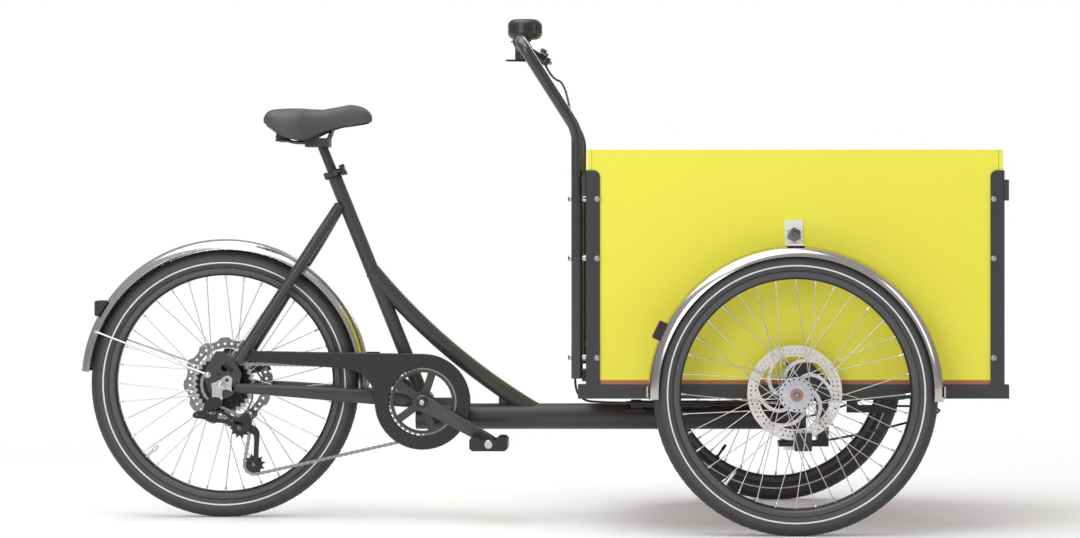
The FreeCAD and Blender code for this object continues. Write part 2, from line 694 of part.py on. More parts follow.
def ordered(points, centre=(0, 0)):
    """Outline points sorted by their angle about a centre."""
    return sorted(points, key=lambda p: math.atan2(p[1] - centre[1], p[0] - centre[0]))


def plain_cog(teeth):
    """Outline of a sprocket that carries no chain."""
    radius = pitch_radius(teeth)
    points = []
    for i in range(2 * teeth):
        reach = radius + size.tooth_rise if i % 2 else radius - size.roller_radius
        turn = i * math.pi / teeth
        points.append((reach * math.cos(turn), reach * math.sin(turn)))
    return points


def sprocket_place(x, z, middle_y):
    return upright(middle_y + size.sprocket_thickness / 2, RIGHT, x, z)


def spider_windows():
    """Openings between the arms of the chainring's spider."""
    outer = pitch_radius(RING_TEETH) - size.roller_radius - size.ring_band
    inner = size.crank_boss + size.spider_arm
    windows = []
    for i in range(SPIDER_ARMS):
        points = []
        for radius in (outer, inner):
            slack = math.degrees(size.spider_arm / radius)
            first = i * 360 / SPIDER_ARMS + slack
            last = (i + 1) * 360 / SPIDER_ARMS - slack
            points.append([polar(radius, deg) for deg in (first, (first + last) / 2, last)])
        (a, b, c), (e, f, g) = points
        windows.append([(a.x, a.z), (b.x, b.z, c.x, c.z), (g.x, g.z), (f.x, f.z, e.x, e.z)])
    return windows


ring_outlines = [ordered(toothed(RING_TEETH, first_gap(ring_wheel))), ("circle", 0, 0, size.crank_boss)]
node("chainring", plate("chainring_body", ring_outlines + spider_windows(), "sprocket_thickness",
                        sprocket_place(bracket_x, size.bracket_z, chain_y)))

cogs = [rod("cog_core", f"cog_pitch * {len(COG_TEETH) - 1} + cog_thickness * 2",
            at(0, -size.cog_first_y - size.cog_thickness, 0), Y)]
for index, teeth in enumerate(COG_TEETH):
    place = sprocket_place(0, 0, -size.cog_first_y + index * size.cog_pitch)
    shape = ordered(toothed(teeth, first_gap(cog_wheel))) if index == CHAIN_COG else plain_cog(teeth)
    cogs.append(plate("cog", [shape], "cog_thickness", place))
cassette_bore = rod("rear_axle_radius + running_gap", "2 * cog_first_y", at(0, -2 * size.cog_first_y, 0), Y)
node("cassette", cut(joined(cogs), cassette_bore))

for label, pulley in (("guide_pulley", guide_wheel), ("tension_pulley", tension_wheel)):
    outlines = [ordered(toothed(PULLEY_TEETH, first_gap(pulley)))]
    outlines.append(("circle", 0, 0, size.pulley_bore + size.running_gap))
    place = sprocket_place(pulley.x, pulley.z, chain_y)
    node(label, plate(label + "_body", outlines, "sprocket_thickness", place))


# Chain links

def link_outline():
    """Waisted side plate, from one roller to the next."""
    half = size.plate_half_height
    end = size.chain_pitch / 2 + half
    waist = size.plate_waist
    return [(-end, 0), (-size.chain_pitch / 2, half), (0, waist), (size.chain_pitch / 2, half), (end, 0),
            (size.chain_pitch / 2, -half), (0, -waist), (-size.chain_pitch / 2, -half)]


def prism(outline, low, high):
    """Solid between two planes square to the chain, about the link's own centre."""
    points = [Vector(x, low, z) for x, z in outline]
    face = Part.Face(Part.makePolygon(points + points[:1]))
    return face.extrude(Vector(0, high - low, 0))


def roller_outline(x):
    corners = [polar(size.roller_radius, i * 360 / ROLLER_CORNERS) for i in range(ROLLER_CORNERS)]
    return [(x + corner.x, corner.z) for corner in corners]


def chain_shape():
    """Inner links with their rollers, and the outer plates that join them."""
    half = size.inner_width / 2
    inner_face = half + size.plate_thickness
    outer_face = inner_face + size.running_gap
    inner_link = prism(link_outline(), -inner_face, -half)
    rest = [prism(link_outline(), half, inner_face)]
    rest += [prism(roller_outline(x), -half, half) for x in (-size.chain_pitch / 2, size.chain_pitch / 2)]
    inner_link = inner_link.fuse(rest).removeSplitter()
    outer_plates = [prism(link_outline(), -outer_face - size.plate_thickness, -outer_face)]
    outer_plates.append(prism(link_outline(), outer_face, outer_face + size.plate_thickness))
    solids = []
    for i in range(link_count):
        x, z = chain_point(i)
        next_x, next_z = chain_point((i + 1) % link_count)
        turn = Rotation(Y, -math.degrees(math.atan2(next_z - z, next_x - x)))
        place = Placement(at((x + next_x) / 2, chain_y, (z + next_z) / 2), turn)
        for piece in ([inner_link] if i % 2 else outer_plates):
            copy = piece.copy()
            copy.Placement = place.multiply(copy.Placement)
            solids.append(copy)
    return Part.makeCompound(solids)


chain = doc.addObject("Part::Feature", "chain_links")
chain.Shape = chain_shape()
node("chain", chain)


# Cranks and pedals

crank_turn = math.asin(size.crank_drop / size.crank_length)
crank_way = Vector(math.cos(crank_turn), 0, -math.sin(crank_turn))
bracket = at(bracket_x, 0, size.bracket_z)


def crank_arm(name, side, way):
    """Tapered arm with its pedal spindle, from the bracket to the pedal."""
    big = size.crank_big_end
    small = size.crank_small_end
    length = size.crank_length
    lean = math.asin((big - small) / length)
    sin, cos = math.sin(lean), math.cos(lean)
    outline = [
        (big * sin, big * cos), (length + small * sin, small * cos),
        (length + small, 0, length + small * sin, -small * cos), (big * sin, -big * cos),
        (-big, 0, big * sin, big * cos),
    ]
    out = Y * side
    base = bracket + out * size.crank_y
    arm = plate(name, [outline], "crank_thickness", Placement(base, Rotation(way, out.cross(way), out, "ZXY")))
    eased(arm, "Chamfer", "crank_bevel")
    spindle_start = base + way * length
    spindle = rod("pedal_spindle", "crank_thickness + pedal_clear + pedal_width", spindle_start, out)
    return [arm, spindle]


right_arm = crank_arm("crank_right_arm", RIGHT, crank_way)
boss_start = at(bracket_x, chain_y + size.sprocket_thickness, size.bracket_z)
boss_length = f"crank_y - cog_first_y + cog_pitch * {CHAIN_COG} + sprocket_thickness"
spindle_socket = rod("spindle_radius", boss_length + " + overrun", boss_start + Y * size.overrun, -Y)
node("crank_right", cut(joined(right_arm + [rod("crank_boss", boss_length, boss_start, -Y)]), spindle_socket))
left_arm = crank_arm("crank_left_arm", LEFT, -crank_way)
node("crank_left", joined(left_arm + [rod("spindle_radius", "2 * crank_y", bracket - Y * size.crank_y, Y)]))


def pedal(side, way):
    """Cage pedal on its barrel, level at rest."""
    out = Y * side
    middle = bracket + way * size.crank_length
    start = middle + out * (size.crank_y + size.crank_thickness + size.pedal_clear)
    half_length = size.pedal_length / 2
    half_height = size.pedal_height / 2
    corner = size.pedal_corner
    notch = half_height - size.pedal_notch
    step = half_length - size.pedal_block
    outline = [
        (corner - half_length, half_height), (-step, half_height), (corner - step, notch),
        (step - corner, notch), (step, half_height), (half_length - corner, half_height),
        (half_length, half_height - corner),
        (half_length, corner - half_height), (half_length - corner, -half_height),
        (corner - half_length, -half_height), (-half_length, corner - half_height),
        (-half_length, half_height - corner),
    ]
    turn = Rotation(X, out.cross(X), out, "ZXY")
    pieces = []
    for shift in (0, size.pedal_width - size.pedal_frame):
        pieces.append(plate("pedal_end", [outline], "pedal_frame", Placement(start + out * shift, turn)))
    for end in (-1, 1):
        inner = end * (half_length - size.pedal_frame)
        low = Vector(min(inner, end * half_length), 0, -size.pedal_bar_height / 2)
        high = Vector(max(inner, end * half_length), size.pedal_width, size.pedal_bar_height / 2)
        base = start if side == LEFT else start + out * size.pedal_width
        pieces.append(block(low, high, Rotation(), base))
    pieces.append(rod("pedal_barrel", "pedal_width", start, out))
    bore = rod("pedal_spindle + running_gap", "pedal_width + 2 * overrun", start - out * size.overrun, out)
    return cut(joined(pieces), bore)


node("pedal_right", pedal(RIGHT, crank_way))
node("pedal_left", pedal(LEFT, -crank_way))

cups = []
for side in SIDES:
    out = Y * side
    face = bracket + out * size.bracket_half
    sleeve = rod("cup_sleeve", "cup_depth", face, -out)
    flange = rod("cup_flange", "cup_flange_thickness", face, out)
    through = rod("spindle_radius + running_gap", "cup_depth + cup_flange_thickness + 2 * overrun",
                  face - out * (size.cup_depth + size.overrun), out)
    cups.append(cut(joined([sleeve, flange]), through))
node("bottom_bracket_cups", group(cups))


# Chain guard

def guard_shape():
    """Blade over the chain that runs smoothly into a ring about the chainring, counted from the bottom bracket."""
    reach = size.guard_ring
    sweep = size.guard_sweep
    tip = size.guard_tip_x - bracket_x
    along = Vector(size.guard_belly_x - tip, 0, size.guard_belly_z - size.guard_tip_low).normalize()
    up = Vector(-along.z, 0, along.x)
    lift = up.x * tip + up.z * size.guard_tip_low
    back = math.sqrt((reach + sweep) ** 2 - (lift - sweep) ** 2)
    middle = up * (lift - sweep) - along * back
    leave = middle + up * sweep
    meet = middle * (reach / (reach + sweep))
    curve = middle + (up - meet / reach).normalize() * sweep
    meet_deg = math.degrees(math.atan2(meet.z, meet.x)) % 360
    tip_bearing = math.atan2(size.guard_tip_top, tip)
    top_deg = math.degrees(tip_bearing - math.acos(reach / math.hypot(tip, size.guard_tip_top)))
    below = polar(reach, (meet_deg + top_deg) / 2 + 180)
    crown = polar(reach, top_deg)
    return [
        (tip, size.guard_tip_low), (leave.x, leave.z), (curve.x, curve.z, meet.x, meet.z),
        (below.x, below.z, crown.x, crown.z), (tip, size.guard_tip_top),
    ]


guard = plate("guard_blade", [guard_shape(), ("circle", 0, 0, size.guard_window)], "guard_thickness",
              upright(-size.guard_y, RIGHT, bracket_x, size.bracket_z))
node("chain_guard", eased(guard, "Fillet", "guard_edge"))


# Frame

seat_way = Vector(size.seat_tube_x, 0, size.seat_tube_z - size.bracket_z).normalize()
seat_front = Y.cross(seat_way)
seat_top = at(bracket_x + size.seat_tube_x, 0, size.seat_tube_z)
dropout_middle = size.dropout_y + size.dropout_thickness / 2


def seat_line(z):
    """Place along X of the seat tube's axis at a height."""
    return bracket_x + (z - size.bracket_z) * seat_way.x / seat_way.z


def down_tube():
    """Curved tube from the seat tube to the main tube, and the bore inside it."""
    arc = Part.Arc(at(seat_line(size.down_top_z), 0, size.down_top_z),
                   at(bracket_x + size.down_mid_x, 0, size.down_mid_z),
                   at(bracket_x + size.down_foot_x, 0, size.main_tube_z))
    whole = arc.toShape()
    first, last = whole.ParameterRange
    trim = (last - first) * BORE_TRIM_SHARE
    inner = arc.toShape(first + trim, last - 2 * trim)
    tubes = []
    for radius, edge in (("down_tube", whole), ("down_tube - down_tube_wall", inner)):
        start = edge.ParameterRange[0]
        tubes.append(swept(radius, Part.Wire([edge]), edge.valueAt(start), edge.tangentAt(start)))
    return tubes


def chain_stay(side):
    """Stay that flattens from a round end at the dropout to a tall oval at the bracket."""
    stations = [
        (size.chain_stay_x, dropout_middle, size.chain_stay_z, "chain_stay_rear", "chain_stay_rear"),
        (rear_crown - size.hip_back, size.hip_y, size.hip_z, "chain_stay_tall", "chain_stay_slim"),
        (bracket_x + size.toe_x, size.toe_y, size.bracket_z, "chain_stay_tall", "toe_slim"),
    ]
    sections = []
    for x, y, z, tall, slim in stations:
        oval = doc.addObject("Part::Ellipse", "oval")
        bind(oval, MajorRadius=tall, MinorRadius=slim)
        oval.Placement = Placement(at(x, side * y, z), Rotation(Z, -Y, X, "ZXY"))
        sections.append(oval)
    stay = doc.addObject("Part::Loft", "chain_stay")
    stay.Sections = sections
    stay.Solid = True
    return stay


def dropout(side):
    """Axle plate with a window and a small hole."""
    flip = -side
    window = size.dropout_window
    outline = shared(DROPOUT_SHARES, flip * size.dropout_front, size.dropout_tip)
    holes = [
        ("circle", 0, 0, size.rear_axle_radius), ("circle", flip * size.dropout_low, -window, window / 2),
        ("circle", flip * window, size.dropout_tip / 2, window),
    ]
    return plate("dropout", [outline] + holes, "dropout_thickness", upright(side * size.dropout_y, side))


caliper_centre = rear_axle + polar(size.rear_caliper_reach, REAR_CALIPER_DEG)
bridge_reach = rear_crown + size.bridge_radius - size.guard_sheet / 2

frame_pieces = [
    rod_between("main_tube", at(bracket_x + size.main_tube_x, 0, size.main_tube_z),
                at(kingpin_x, 0, size.main_tube_z)),
    rod("head_tube", "head_length", at(kingpin_x, 0, head_low), Z),
    rod("bracket_shell", "2 * bracket_half", bracket - Y * size.bracket_half, Y),
    rod_between("seat_tube", bracket, seat_top),
]
down_outer, down_bore = down_tube()
frame_pieces.append(down_outer)
gusset_rear = bracket_x + size.gusset_rear_x
gusset_front = bracket_x + size.gusset_front_x
gusset = [
    (gusset_rear, size.main_tube_z), (gusset_front, size.main_tube_z),
    (gusset_front, size.main_tube_z + size.main_tube), (gusset_rear, size.gusset_top_z),
]
web = [
    (seat_line(size.web_top), size.web_top), (seat_line(size.web_low), size.web_low),
    (seat_line(size.web_low) + size.web_reach + size.seat_tube, size.web_low),
]
for outline in (gusset, web):
    frame_pieces.append(plate("gusset", [outline], "gusset_thickness", upright(size.gusset_thickness / 2)))
for side in SIDES:
    knee = rear_axle + polar(rear_crown + size.knee_gap, KNEE_DEG) + Y * side * size.knee_y
    top = at(seat_line(size.stay_top_z) - size.stay_top_back, side * size.stay_top_inset, size.stay_top_z)
    foot = at(size.stay_foot_x, side * dropout_middle, size.stay_foot_z)
    frame_pieces.append(bent("seat_stay", [top, knee, foot], [size.stay_curve]))
    frame_pieces.append(chain_stay(side))
    frame_pieces.append(dropout(side))
for degrees, half in ((LOW_BRIDGE_DEG, size.hip_y), (HIGH_BRIDGE_DEG, size.knee_y)):
    middle = rear_axle + polar(bridge_reach, degrees)
    frame_pieces.append(rod_between("bridge_radius", middle - Y * half, middle + Y * half))
tab = shared(CALIPER_TAB_SHARES, size.rear_caliper_reach, size.dropout_tip)
frame_pieces.append(plate("caliper_tab", [tab], "dropout_thickness", upright(size.dropout_y, LEFT)))
guard_foot = at(bracket_x + size.guard_foot_x, -size.guard_y, size.bracket_z + size.guard_post)
frame_pieces.append(rod("guard_post", "guard_y - toe_y", guard_foot, Y))

bracket_end = bracket_x + size.bracket_shell + size.overrun
frame_bores = [
    rod("cup_sleeve", "2 * bracket_half + 2 * overrun", bracket - Y * (size.bracket_half + size.overrun), Y),
    rod("kingpin_radius + running_gap", "head_length + 2 * overrun",
        at(kingpin_x, 0, head_low - size.overrun), Z),
    rod_between("main_tube - main_tube_wall", at(bracket_end, 0, size.main_tube_z),
                at(kingpin_x - size.head_tube, 0, size.main_tube_z)),
    rod("post_radius + running_gap", "post_insert + post_travel + overrun", seat_top + seat_way * size.overrun,
        -seat_way),
    down_bore,
]
node("frame", cut(joined(frame_pieces), joined(frame_bores)))


# Rear axle, derailleur and rear caliper

def hexagon(across, height, start, along):
    """Hex nut or bolt head, with its width across corners halved and its height as expressions."""
    prism_solid = doc.addObject("Part::Prism", "hexagon")
    prism_solid.Polygon = 6
    bind(prism_solid, Circumradius=across, Height=height)
    prism_solid.Placement = Placement(start, Rotation(Z, along))
    return prism_solid


right_face = -size.dropout_y - size.dropout_thickness
left_face = size.dropout_y + size.dropout_thickness
hanger_face = right_face - size.hanger_thickness
hanger = shared(HANGER_SHARES, size.dropout_low, size.dropout_low)
axle_pieces = [
    rod("rear_axle_radius", "2 * rear_axle_half", rear_axle - Y * size.rear_axle_half, Y),
    rod("axle_spacer", "dropout_y - cog_first_y - cog_thickness - seat_gap", rear_axle - Y * size.dropout_y, Y),
    rod("axle_spacer", "dropout_y - rear_hub_left - seat_gap", rear_axle + Y * size.dropout_y, -Y),
    hexagon("axle_nut", "axle_nut_height", rear_axle + Y * hanger_face, -Y),
    hexagon("axle_nut", "axle_nut_height", rear_axle + Y * left_face, Y),
    plate("hanger", [hanger], "hanger_thickness", upright(right_face)),
]
node("rear_axle", joined(axle_pieces))

cage_outer = chain_y - size.cage_gap - size.cage_plate
link_outer = right_face + size.link_inset
link_inner = cage_outer - size.knuckle_gap
derailleur = shared(DERAILLEUR_SHARES, size.link_span, size.link_pivot_z - size.guide_z)
link_body = doc.addObject("PartDesign::Body", "derailleur_body")
link_pad = link_body.newObject("PartDesign::Pad", "width")
link_pad.Profile = sketch_on(link_body, "XY_Plane", [derailleur])
link_pad.Length = link_inner - link_outer
link_body.Tip = link_pad
link_body.Placement = upright(link_inner, RIGHT, size.guide_x, size.guide_z)
link_boss = rod_between("link_half_width", at(size.link_pivot_x, link_outer, size.link_pivot_z),
                        at(size.link_pivot_x, right_face, size.link_pivot_z))
node("derailleur_link", joined([link_body, link_boss]))

cage_way = Vector(math.cos(cage_angle), 0, math.sin(cage_angle))
half = size.cage_half_width
cage_outline = [
    (0, half), (size.cage_length, half), (size.cage_length + half, 0, size.cage_length, -half), (0, -half),
    (-half, 0, 0, half),
]
cage_pieces = []
for face in (chain_y + size.cage_gap + size.cage_plate, chain_y - size.cage_gap):
    turn = Rotation(cage_way, (-Y).cross(cage_way), -Y, "ZXY")
    cage_pieces.append(plate("cage_side", [cage_outline], "cage_plate",
                             Placement(at(size.guide_x, face, size.guide_z), turn)))
for pulley in (guide_wheel, tension_wheel):
    cage_pieces.append(rod("pulley_bore", "2 * cage_gap + 2 * cage_plate",
                           at(pulley.x, cage_outer, pulley.z), Y))
cage_pieces.append(rod_between("cage_half_width", at(size.guide_x, link_inner, size.guide_z),
                               at(size.guide_x, cage_outer, size.guide_z)))
node("derailleur_cage", joined(cage_pieces))

caliper_turn = Rotation(Y, -REAR_CALIPER_DEG)
rear_caliper = block(Vector(-size.rear_caliper_long / 2, size.rear_caliper_inner, -size.rear_caliper_tall / 2),
                     Vector(size.rear_caliper_long / 2, size.dropout_y, size.rear_caliper_tall / 2),
                     caliper_turn, caliper_centre)
rotor_slot = rod("rotor_radius + 2 * pad_gap", "rotor_thickness + 2 * pad_gap",
                 rear_axle + Y * (size.rear_rotor_y - size.pad_gap), Y)
node("rear_caliper", cut(rear_caliper, rotor_slot))


# Conduit beside the main tube

conduit_turn = Rotation(X, CONDUIT_DEG)
conduit_reach = size.main_tube + size.joint_radius + size.seat_gap
conduit_way = conduit_turn.multVec(Z)
conduit_x = kingpin_x - size.conduit_back
tube_at_bracket = at(conduit_x, 0, size.main_tube_z)
half_bracket = size.saddle_bracket_length / 2
saddle = block(Vector(-half_bracket, -size.saddle_bracket_width / 2, size.main_tube / 2),
               Vector(half_bracket, size.saddle_bracket_width / 2, size.main_tube + size.saddle_bracket_height),
               conduit_turn, tube_at_bracket)
saddle_seat = rod_between("main_tube", tube_at_bracket - X * size.saddle_bracket_length,
                          tube_at_bracket + X * size.saddle_bracket_length)


def conduit_point(x):
    return at(x, 0, size.main_tube_z) + conduit_way * conduit_reach


conduit_rear = conduit_x - size.joint_length / 2
conduit_pieces = [
    cut(saddle, saddle_seat),
    rod("joint_radius", "joint_length", conduit_point(conduit_rear), X),
    rod_between("conduit_radius", conduit_point(conduit_x), conduit_point(kingpin_x - size.conduit_step)),
    rod_between("conduit_thin", conduit_point(conduit_x), conduit_point(kingpin_x - size.conduit_stop)),
]
node("cable_conduit", joined(conduit_pieces))


# Mudguards and lights

def guard_outline(crown, edge, sheet_thickness):
    """Round-backed mudguard section, as radius and place across."""
    half_width = size.guard_half_width
    inner = half_width - sheet_thickness
    return [
        (edge, -half_width), (crown, 0, edge, half_width), (edge, inner),
        (crown - sheet_thickness, 0, edge, -inner),
    ]


def mudguard(name, centre, crown, edge, degrees):
    first, last = degrees
    middle = polar(1, (first + last) / 2)
    return turned(name, guard_outline(crown, edge, size.guard_sheet), centre, -Y, middle, last - first)


def guard_back(centre, crown, edge):
    """Solid under a mudguard's back, to fit other pieces against it."""
    half_width = size.guard_half_width
    return turned("guard_back", [(edge, -half_width), (crown, 0, edge, half_width)], centre, -Y)


def on_guard(centre, crown, edge, degrees, deep, long, wide):
    """Block that sits on a mudguard's back, hollowed to fit it."""
    turn = Rotation(Y, -degrees)
    seat = crown - size.guard_half_width / 3
    light = block(Vector(seat, -wide / 2, -long / 2), Vector(crown + deep, wide / 2, long / 2), turn, centre)
    return cut(light, guard_back(centre, crown, edge))


rear_guard = mudguard("rear_guard_sheet", rear_axle, rear_crown, rear_edge, REAR_GUARD_DEG)
rear_guard_pieces = [rear_guard]
for side in SIDES:
    eyelet = rear_axle + Vector(-size.eyelet_x, side * left_face, size.eyelet_z)
    wire_start = eyelet + Y * side * size.bolt_head_height / 2
    wire_end_y = side * (size.guard_half_width + 1.5 * size.stay_wire)
    wire_end = rear_axle + Vector(-size.stay_wire_x, wire_end_y, size.stay_wire_z)
    clip = rod("stay_clip", "2 * bolt_head", wire_end + Y * side * size.stay_wire, Y * -side)
    clip_foot = cut(clip, guard_back(rear_axle, rear_crown, rear_edge))
    head = rod("bolt_head", "bolt_head_height", eyelet, Y * side)
    rear_guard_pieces.append(joined([head, rod_between("stay_wire", wire_start, wire_end), clip_foot]))
node("rear_mudguard", group(rear_guard_pieces))
node("rear_light", on_guard(rear_axle, rear_crown, rear_edge, REAR_LIGHT_DEG,
                            size.rear_light_deep, size.rear_light_long, size.rear_light_wide))

rail_face = size.box_half_width + size.angle_thickness
strap_reach = half_track + size.strap_lip
front_guards = []
markers = []
for side in SIDES:
    centre = front_axles[side]
    pieces = [mudguard("front_guard_sheet", centre, front_crown, front_edge, FRONT_GUARD_DEG)]
    low_y, high_y = sorted((side * rail_face, side * strap_reach))
    for end in (-1, 1):
        crown_x = size.wheelbase + end * front_crown
        low_x, high_x = sorted((crown_x - end * size.guard_sheet, crown_x + end * size.strap_thickness))
        pieces.append(block(at(low_x, low_y, size.floor_z - size.strap_width - size.seat_gap),
                            at(high_x, high_y, size.floor_z - size.seat_gap)))
    half_bracket = size.top_bracket_width / 2
    arm_low = front_crown - size.guard_sheet / 2
    panel_y = side * size.box_half_width
    plate_y = panel_y + side * size.top_bracket_thickness
    low_y, high_y = sorted((panel_y, plate_y))
    pieces.append(block(at(size.wheelbase - half_bracket, low_y, arm_low),
                        at(size.wheelbase + half_bracket, high_y, front_crown + size.top_bracket_rise)))
    low_y, high_y = sorted((panel_y, side * strap_reach))
    pieces.append(block(at(size.wheelbase - half_bracket, low_y, arm_low),
                        at(size.wheelbase + half_bracket, high_y, arm_low + size.top_bracket_thickness)))
    bolt_seat = at(size.wheelbase, plate_y, front_crown + size.top_bolt_rise)
    pieces.append(hexagon("hex_corner", "hex_height", bolt_seat, Y * side))
    front_guards.append(joined(pieces))
    markers.append(on_guard(centre, front_crown, front_edge, MARKER_DEG,
                            size.marker_deep, size.marker_long, size.marker_wide))
node("front_mudguards", group(front_guards))
node("marker_lights", group(markers))


# Seat post, clamp and saddle

seat_turn = Rotation(seat_front, Y, seat_way, "ZXY")
collar_low = seat_top - seat_way * size.collar_height
clamp_middle = seat_top - seat_way * (size.collar_height / 2)
skewer_line = clamp_middle - Y * size.skewer_offset
ear = block(Vector(-size.ear_length / 2, -size.skewer_offset - size.ear_height / 2, -size.ear_height / 2),
            Vector(size.ear_length / 2, -size.seat_tube, size.ear_height / 2), seat_turn, clamp_middle)
slit = block(Vector(-size.seat_gap * 3, -2 * size.skewer_offset, -size.collar_height),
             Vector(size.seat_gap * 3, -size.seat_tube / 2, size.collar_height), seat_turn, clamp_middle)
collar_bore = rod("seat_tube", "collar_height + 2 * overrun", collar_low - seat_way * size.overrun, seat_way)
collar = cut(joined([rod("collar_radius", "collar_height", collar_low, seat_way), ear]), collar_bore)
skewer_tail = skewer_line - seat_front * (size.ear_length / 2 + size.skewer_nut_height)
lever_axis = skewer_line + seat_front * (size.ear_length / 2 + size.lever_barrel + size.skewer_nut_height)
eye_half = (size.lever_height - size.lever_thickness) / 2
clamp_pieces = [
    cut(collar, slit),
    rod_between("skewer_radius", skewer_tail, lever_axis),
    rod("skewer_nut", "skewer_nut_height", skewer_tail, seat_front),
    rod_between("skewer_radius + seat_gap", lever_axis - seat_way * eye_half, lever_axis + seat_way * eye_half),
    rod_between("skewer_radius", lever_axis - seat_way * size.lever_height,
                lever_axis + seat_way * size.lever_height),
]
node("seat_clamp", joined(clamp_pieces))

blade = block(Vector(-size.lever_thickness / 2, size.lever_barrel / 2, -size.lever_height),
              Vector(size.lever_thickness / 2, size.lever_length, size.lever_height), seat_turn, lever_axis)
lever_pieces = [blade]
for way in (seat_way, -seat_way):
    start = lever_axis + way * (eye_half + size.seat_gap)
    lever_pieces.append(rod_between("lever_barrel", start, lever_axis + way * size.lever_height))
lever_bore = rod_between("skewer_radius + running_gap", lever_axis - seat_way * 2 * size.lever_height,
                         lever_axis + seat_way * 2 * size.lever_height)
lever_gap = rod_between("lever_barrel", lever_axis - seat_way * (eye_half + size.seat_gap),
                        lever_axis + seat_way * (eye_half + size.seat_gap))
node("seat_lever", cut(joined(lever_pieces), joined([lever_bore, lever_gap])))

clamp_z = size.seat_tube_z + size.post_show
clamp_x = seat_line(clamp_z) - size.clamp_back
saddle_rear_x = clamp_x - size.saddle_back
saddle_top_z = clamp_z + size.saddle_rise
post_low = seat_top - seat_way * size.post_insert
post_high = at(seat_line(clamp_z), 0, clamp_z)
half_clamp = size.clamp_height / 2
clamp_head = block(at(clamp_x - size.clamp_length / 2, -size.clamp_width / 2, clamp_z - half_clamp),
                   at(clamp_x + size.clamp_length, size.clamp_width / 2, clamp_z + half_clamp))
node("seat_post", joined([rod_between("post_radius", post_low, post_high), clamp_head]))


def saddle_station(index):
    """Place along X, half width, top and bottom of one station of the saddle."""
    along, wide, top, bottom = SADDLE_SHARES[index]
    return (saddle_rear_x + along * size.saddle_length, wide * size.saddle_half_width,
            saddle_top_z - top * size.saddle_depth, saddle_top_z - bottom * size.saddle_depth)


def saddle_section(index, is_cover):
    """Sketch of one station: the padded cover, or the shell under it."""
    x, wide, top, bottom = saddle_station(index)
    tall = top - bottom
    foot = wide * FOOT_SHARE
    arch = bottom + tall * HOLLOW_SHARE
    shoulder = (wide * SHOULDER_SHARE, bottom + tall * SHOULDER_HEIGHT_SHARE)
    if is_cover:
        outline = [
            (-foot, bottom), (0, arch, foot, bottom), (wide, bottom + tall * WIDEST_SHARE, *shoulder),
            (0, top, -shoulder[0], shoulder[1]), (-wide, bottom + tall * WIDEST_SHARE, -foot, bottom),
        ]
    else:
        bottom -= size.shell_gap
        arch -= size.shell_gap
        shell = size.saddle_shell
        outline = [(-foot, bottom), (0, arch, foot, bottom), (foot, bottom - shell),
                   (0, arch - shell, -foot, bottom - shell)]
    sketch = doc.addObject("Sketcher::SketchObject", "station")
    draw(sketch, outline)
    sketch.Placement = Placement(at(x, 0, 0), Rotation(Y, Z, X, "ZXY"))
    return sketch


def saddle_loft(is_cover):
    form = doc.addObject("Part::Loft", "saddle_form")
    form.Sections = [saddle_section(i, is_cover) for i in range(len(SADDLE_SHARES))]
    form.Solid = True
    return form


def saddle_under(x, y):
    """Height of the saddle's hollow underside above a point."""
    stations = [saddle_station(i) for i in range(len(SADDLE_SHARES))]
    for rear, front in zip(stations, stations[1:]):
        if rear[0] <= x <= front[0]:
            share = (x - rear[0]) / (front[0] - rear[0])
            wide, top, bottom = [a + share * (b - a) for a, b in zip(rear[1:], front[1:])]
            return bottom + (top - bottom) * HOLLOW_SHARE * (1 - (y / wide / FOOT_SHARE) ** 2)
    return saddle_top_z


cover = node("saddle_cover", saddle_loft(True))
shell_pieces = [saddle_loft(False)]
bumper_x = clamp_x - size.bumper_back
bumper_top = saddle_under(bumper_x, size.bumper_y) - size.shell_gap - size.saddle_shell / 2
for side in SIDES:
    bumper_foot = at(bumper_x, side * size.bumper_y, clamp_z + size.bumper_rise)
    bumper_head = at(bumper_x, side * size.bumper_y, bumper_top)
    shell_pieces.append(rod_between("bumper_radius", bumper_foot, bumper_head))
    for index in range(BUMPER_RIBS):
        rib_foot = bumper_foot + Z * (index * 2 * size.bumper_rib)
        shell_pieces.append(rod("bumper_radius + bumper_rib / 2", "bumper_rib", rib_foot, Z))
node("saddle_base", cut(joined(shell_pieces), cover))
rail_front_x = clamp_x + size.rail_reach
rails = []
for side in SIDES:
    nose_z = saddle_under(rail_front_x, size.rail_nose_y) - size.shell_gap - size.saddle_shell / 2
    rail_points = [
        at(rail_front_x, side * size.rail_nose_y, nose_z),
        at(clamp_x + size.rail_flat + size.clamp_length / 2, side * size.rail_spread, clamp_z),
        at(clamp_x - size.rail_flat, side * size.rail_spread, clamp_z),
        at(bumper_x, side * size.bumper_y, clamp_z + size.bumper_radius),
    ]
    rails.append(bent("rail_radius", rail_points, [size.rail_curve, size.rail_curve]))
node("saddle_rails", group(rails))


# Box, its frame and the steering yoke

inner_rear = box_rear_x + size.panel_thickness
inner_front = box_front_x - size.panel_thickness
half_box = size.box_half_width
panel_low = size.floor_z + size.panel_thickness
panels = [
    block(at(box_rear_x, -half_box, panel_low), at(inner_rear, half_box, size.box_top_z)),
    block(at(inner_front, -half_box, panel_low), at(box_front_x, half_box, size.box_top_z)),
]
for side in SIDES:
    low_y, high_y = sorted((side * half_box, side * (half_box - size.panel_thickness)))
    panels.append(block(at(inner_rear, low_y, panel_low), at(inner_front, high_y, size.box_top_z)))
node("box_panels", group(panels))
inset = size.panel_thickness + size.seat_gap
node("floor_panel", joined([
    block(at(box_rear_x, -half_box, size.floor_z), at(box_front_x, half_box, panel_low)),
    block(at(box_rear_x + inset, inset - half_box, size.floor_z),
          at(box_front_x - inset, half_box - inset, panel_low + size.floor_rebate)),
]))

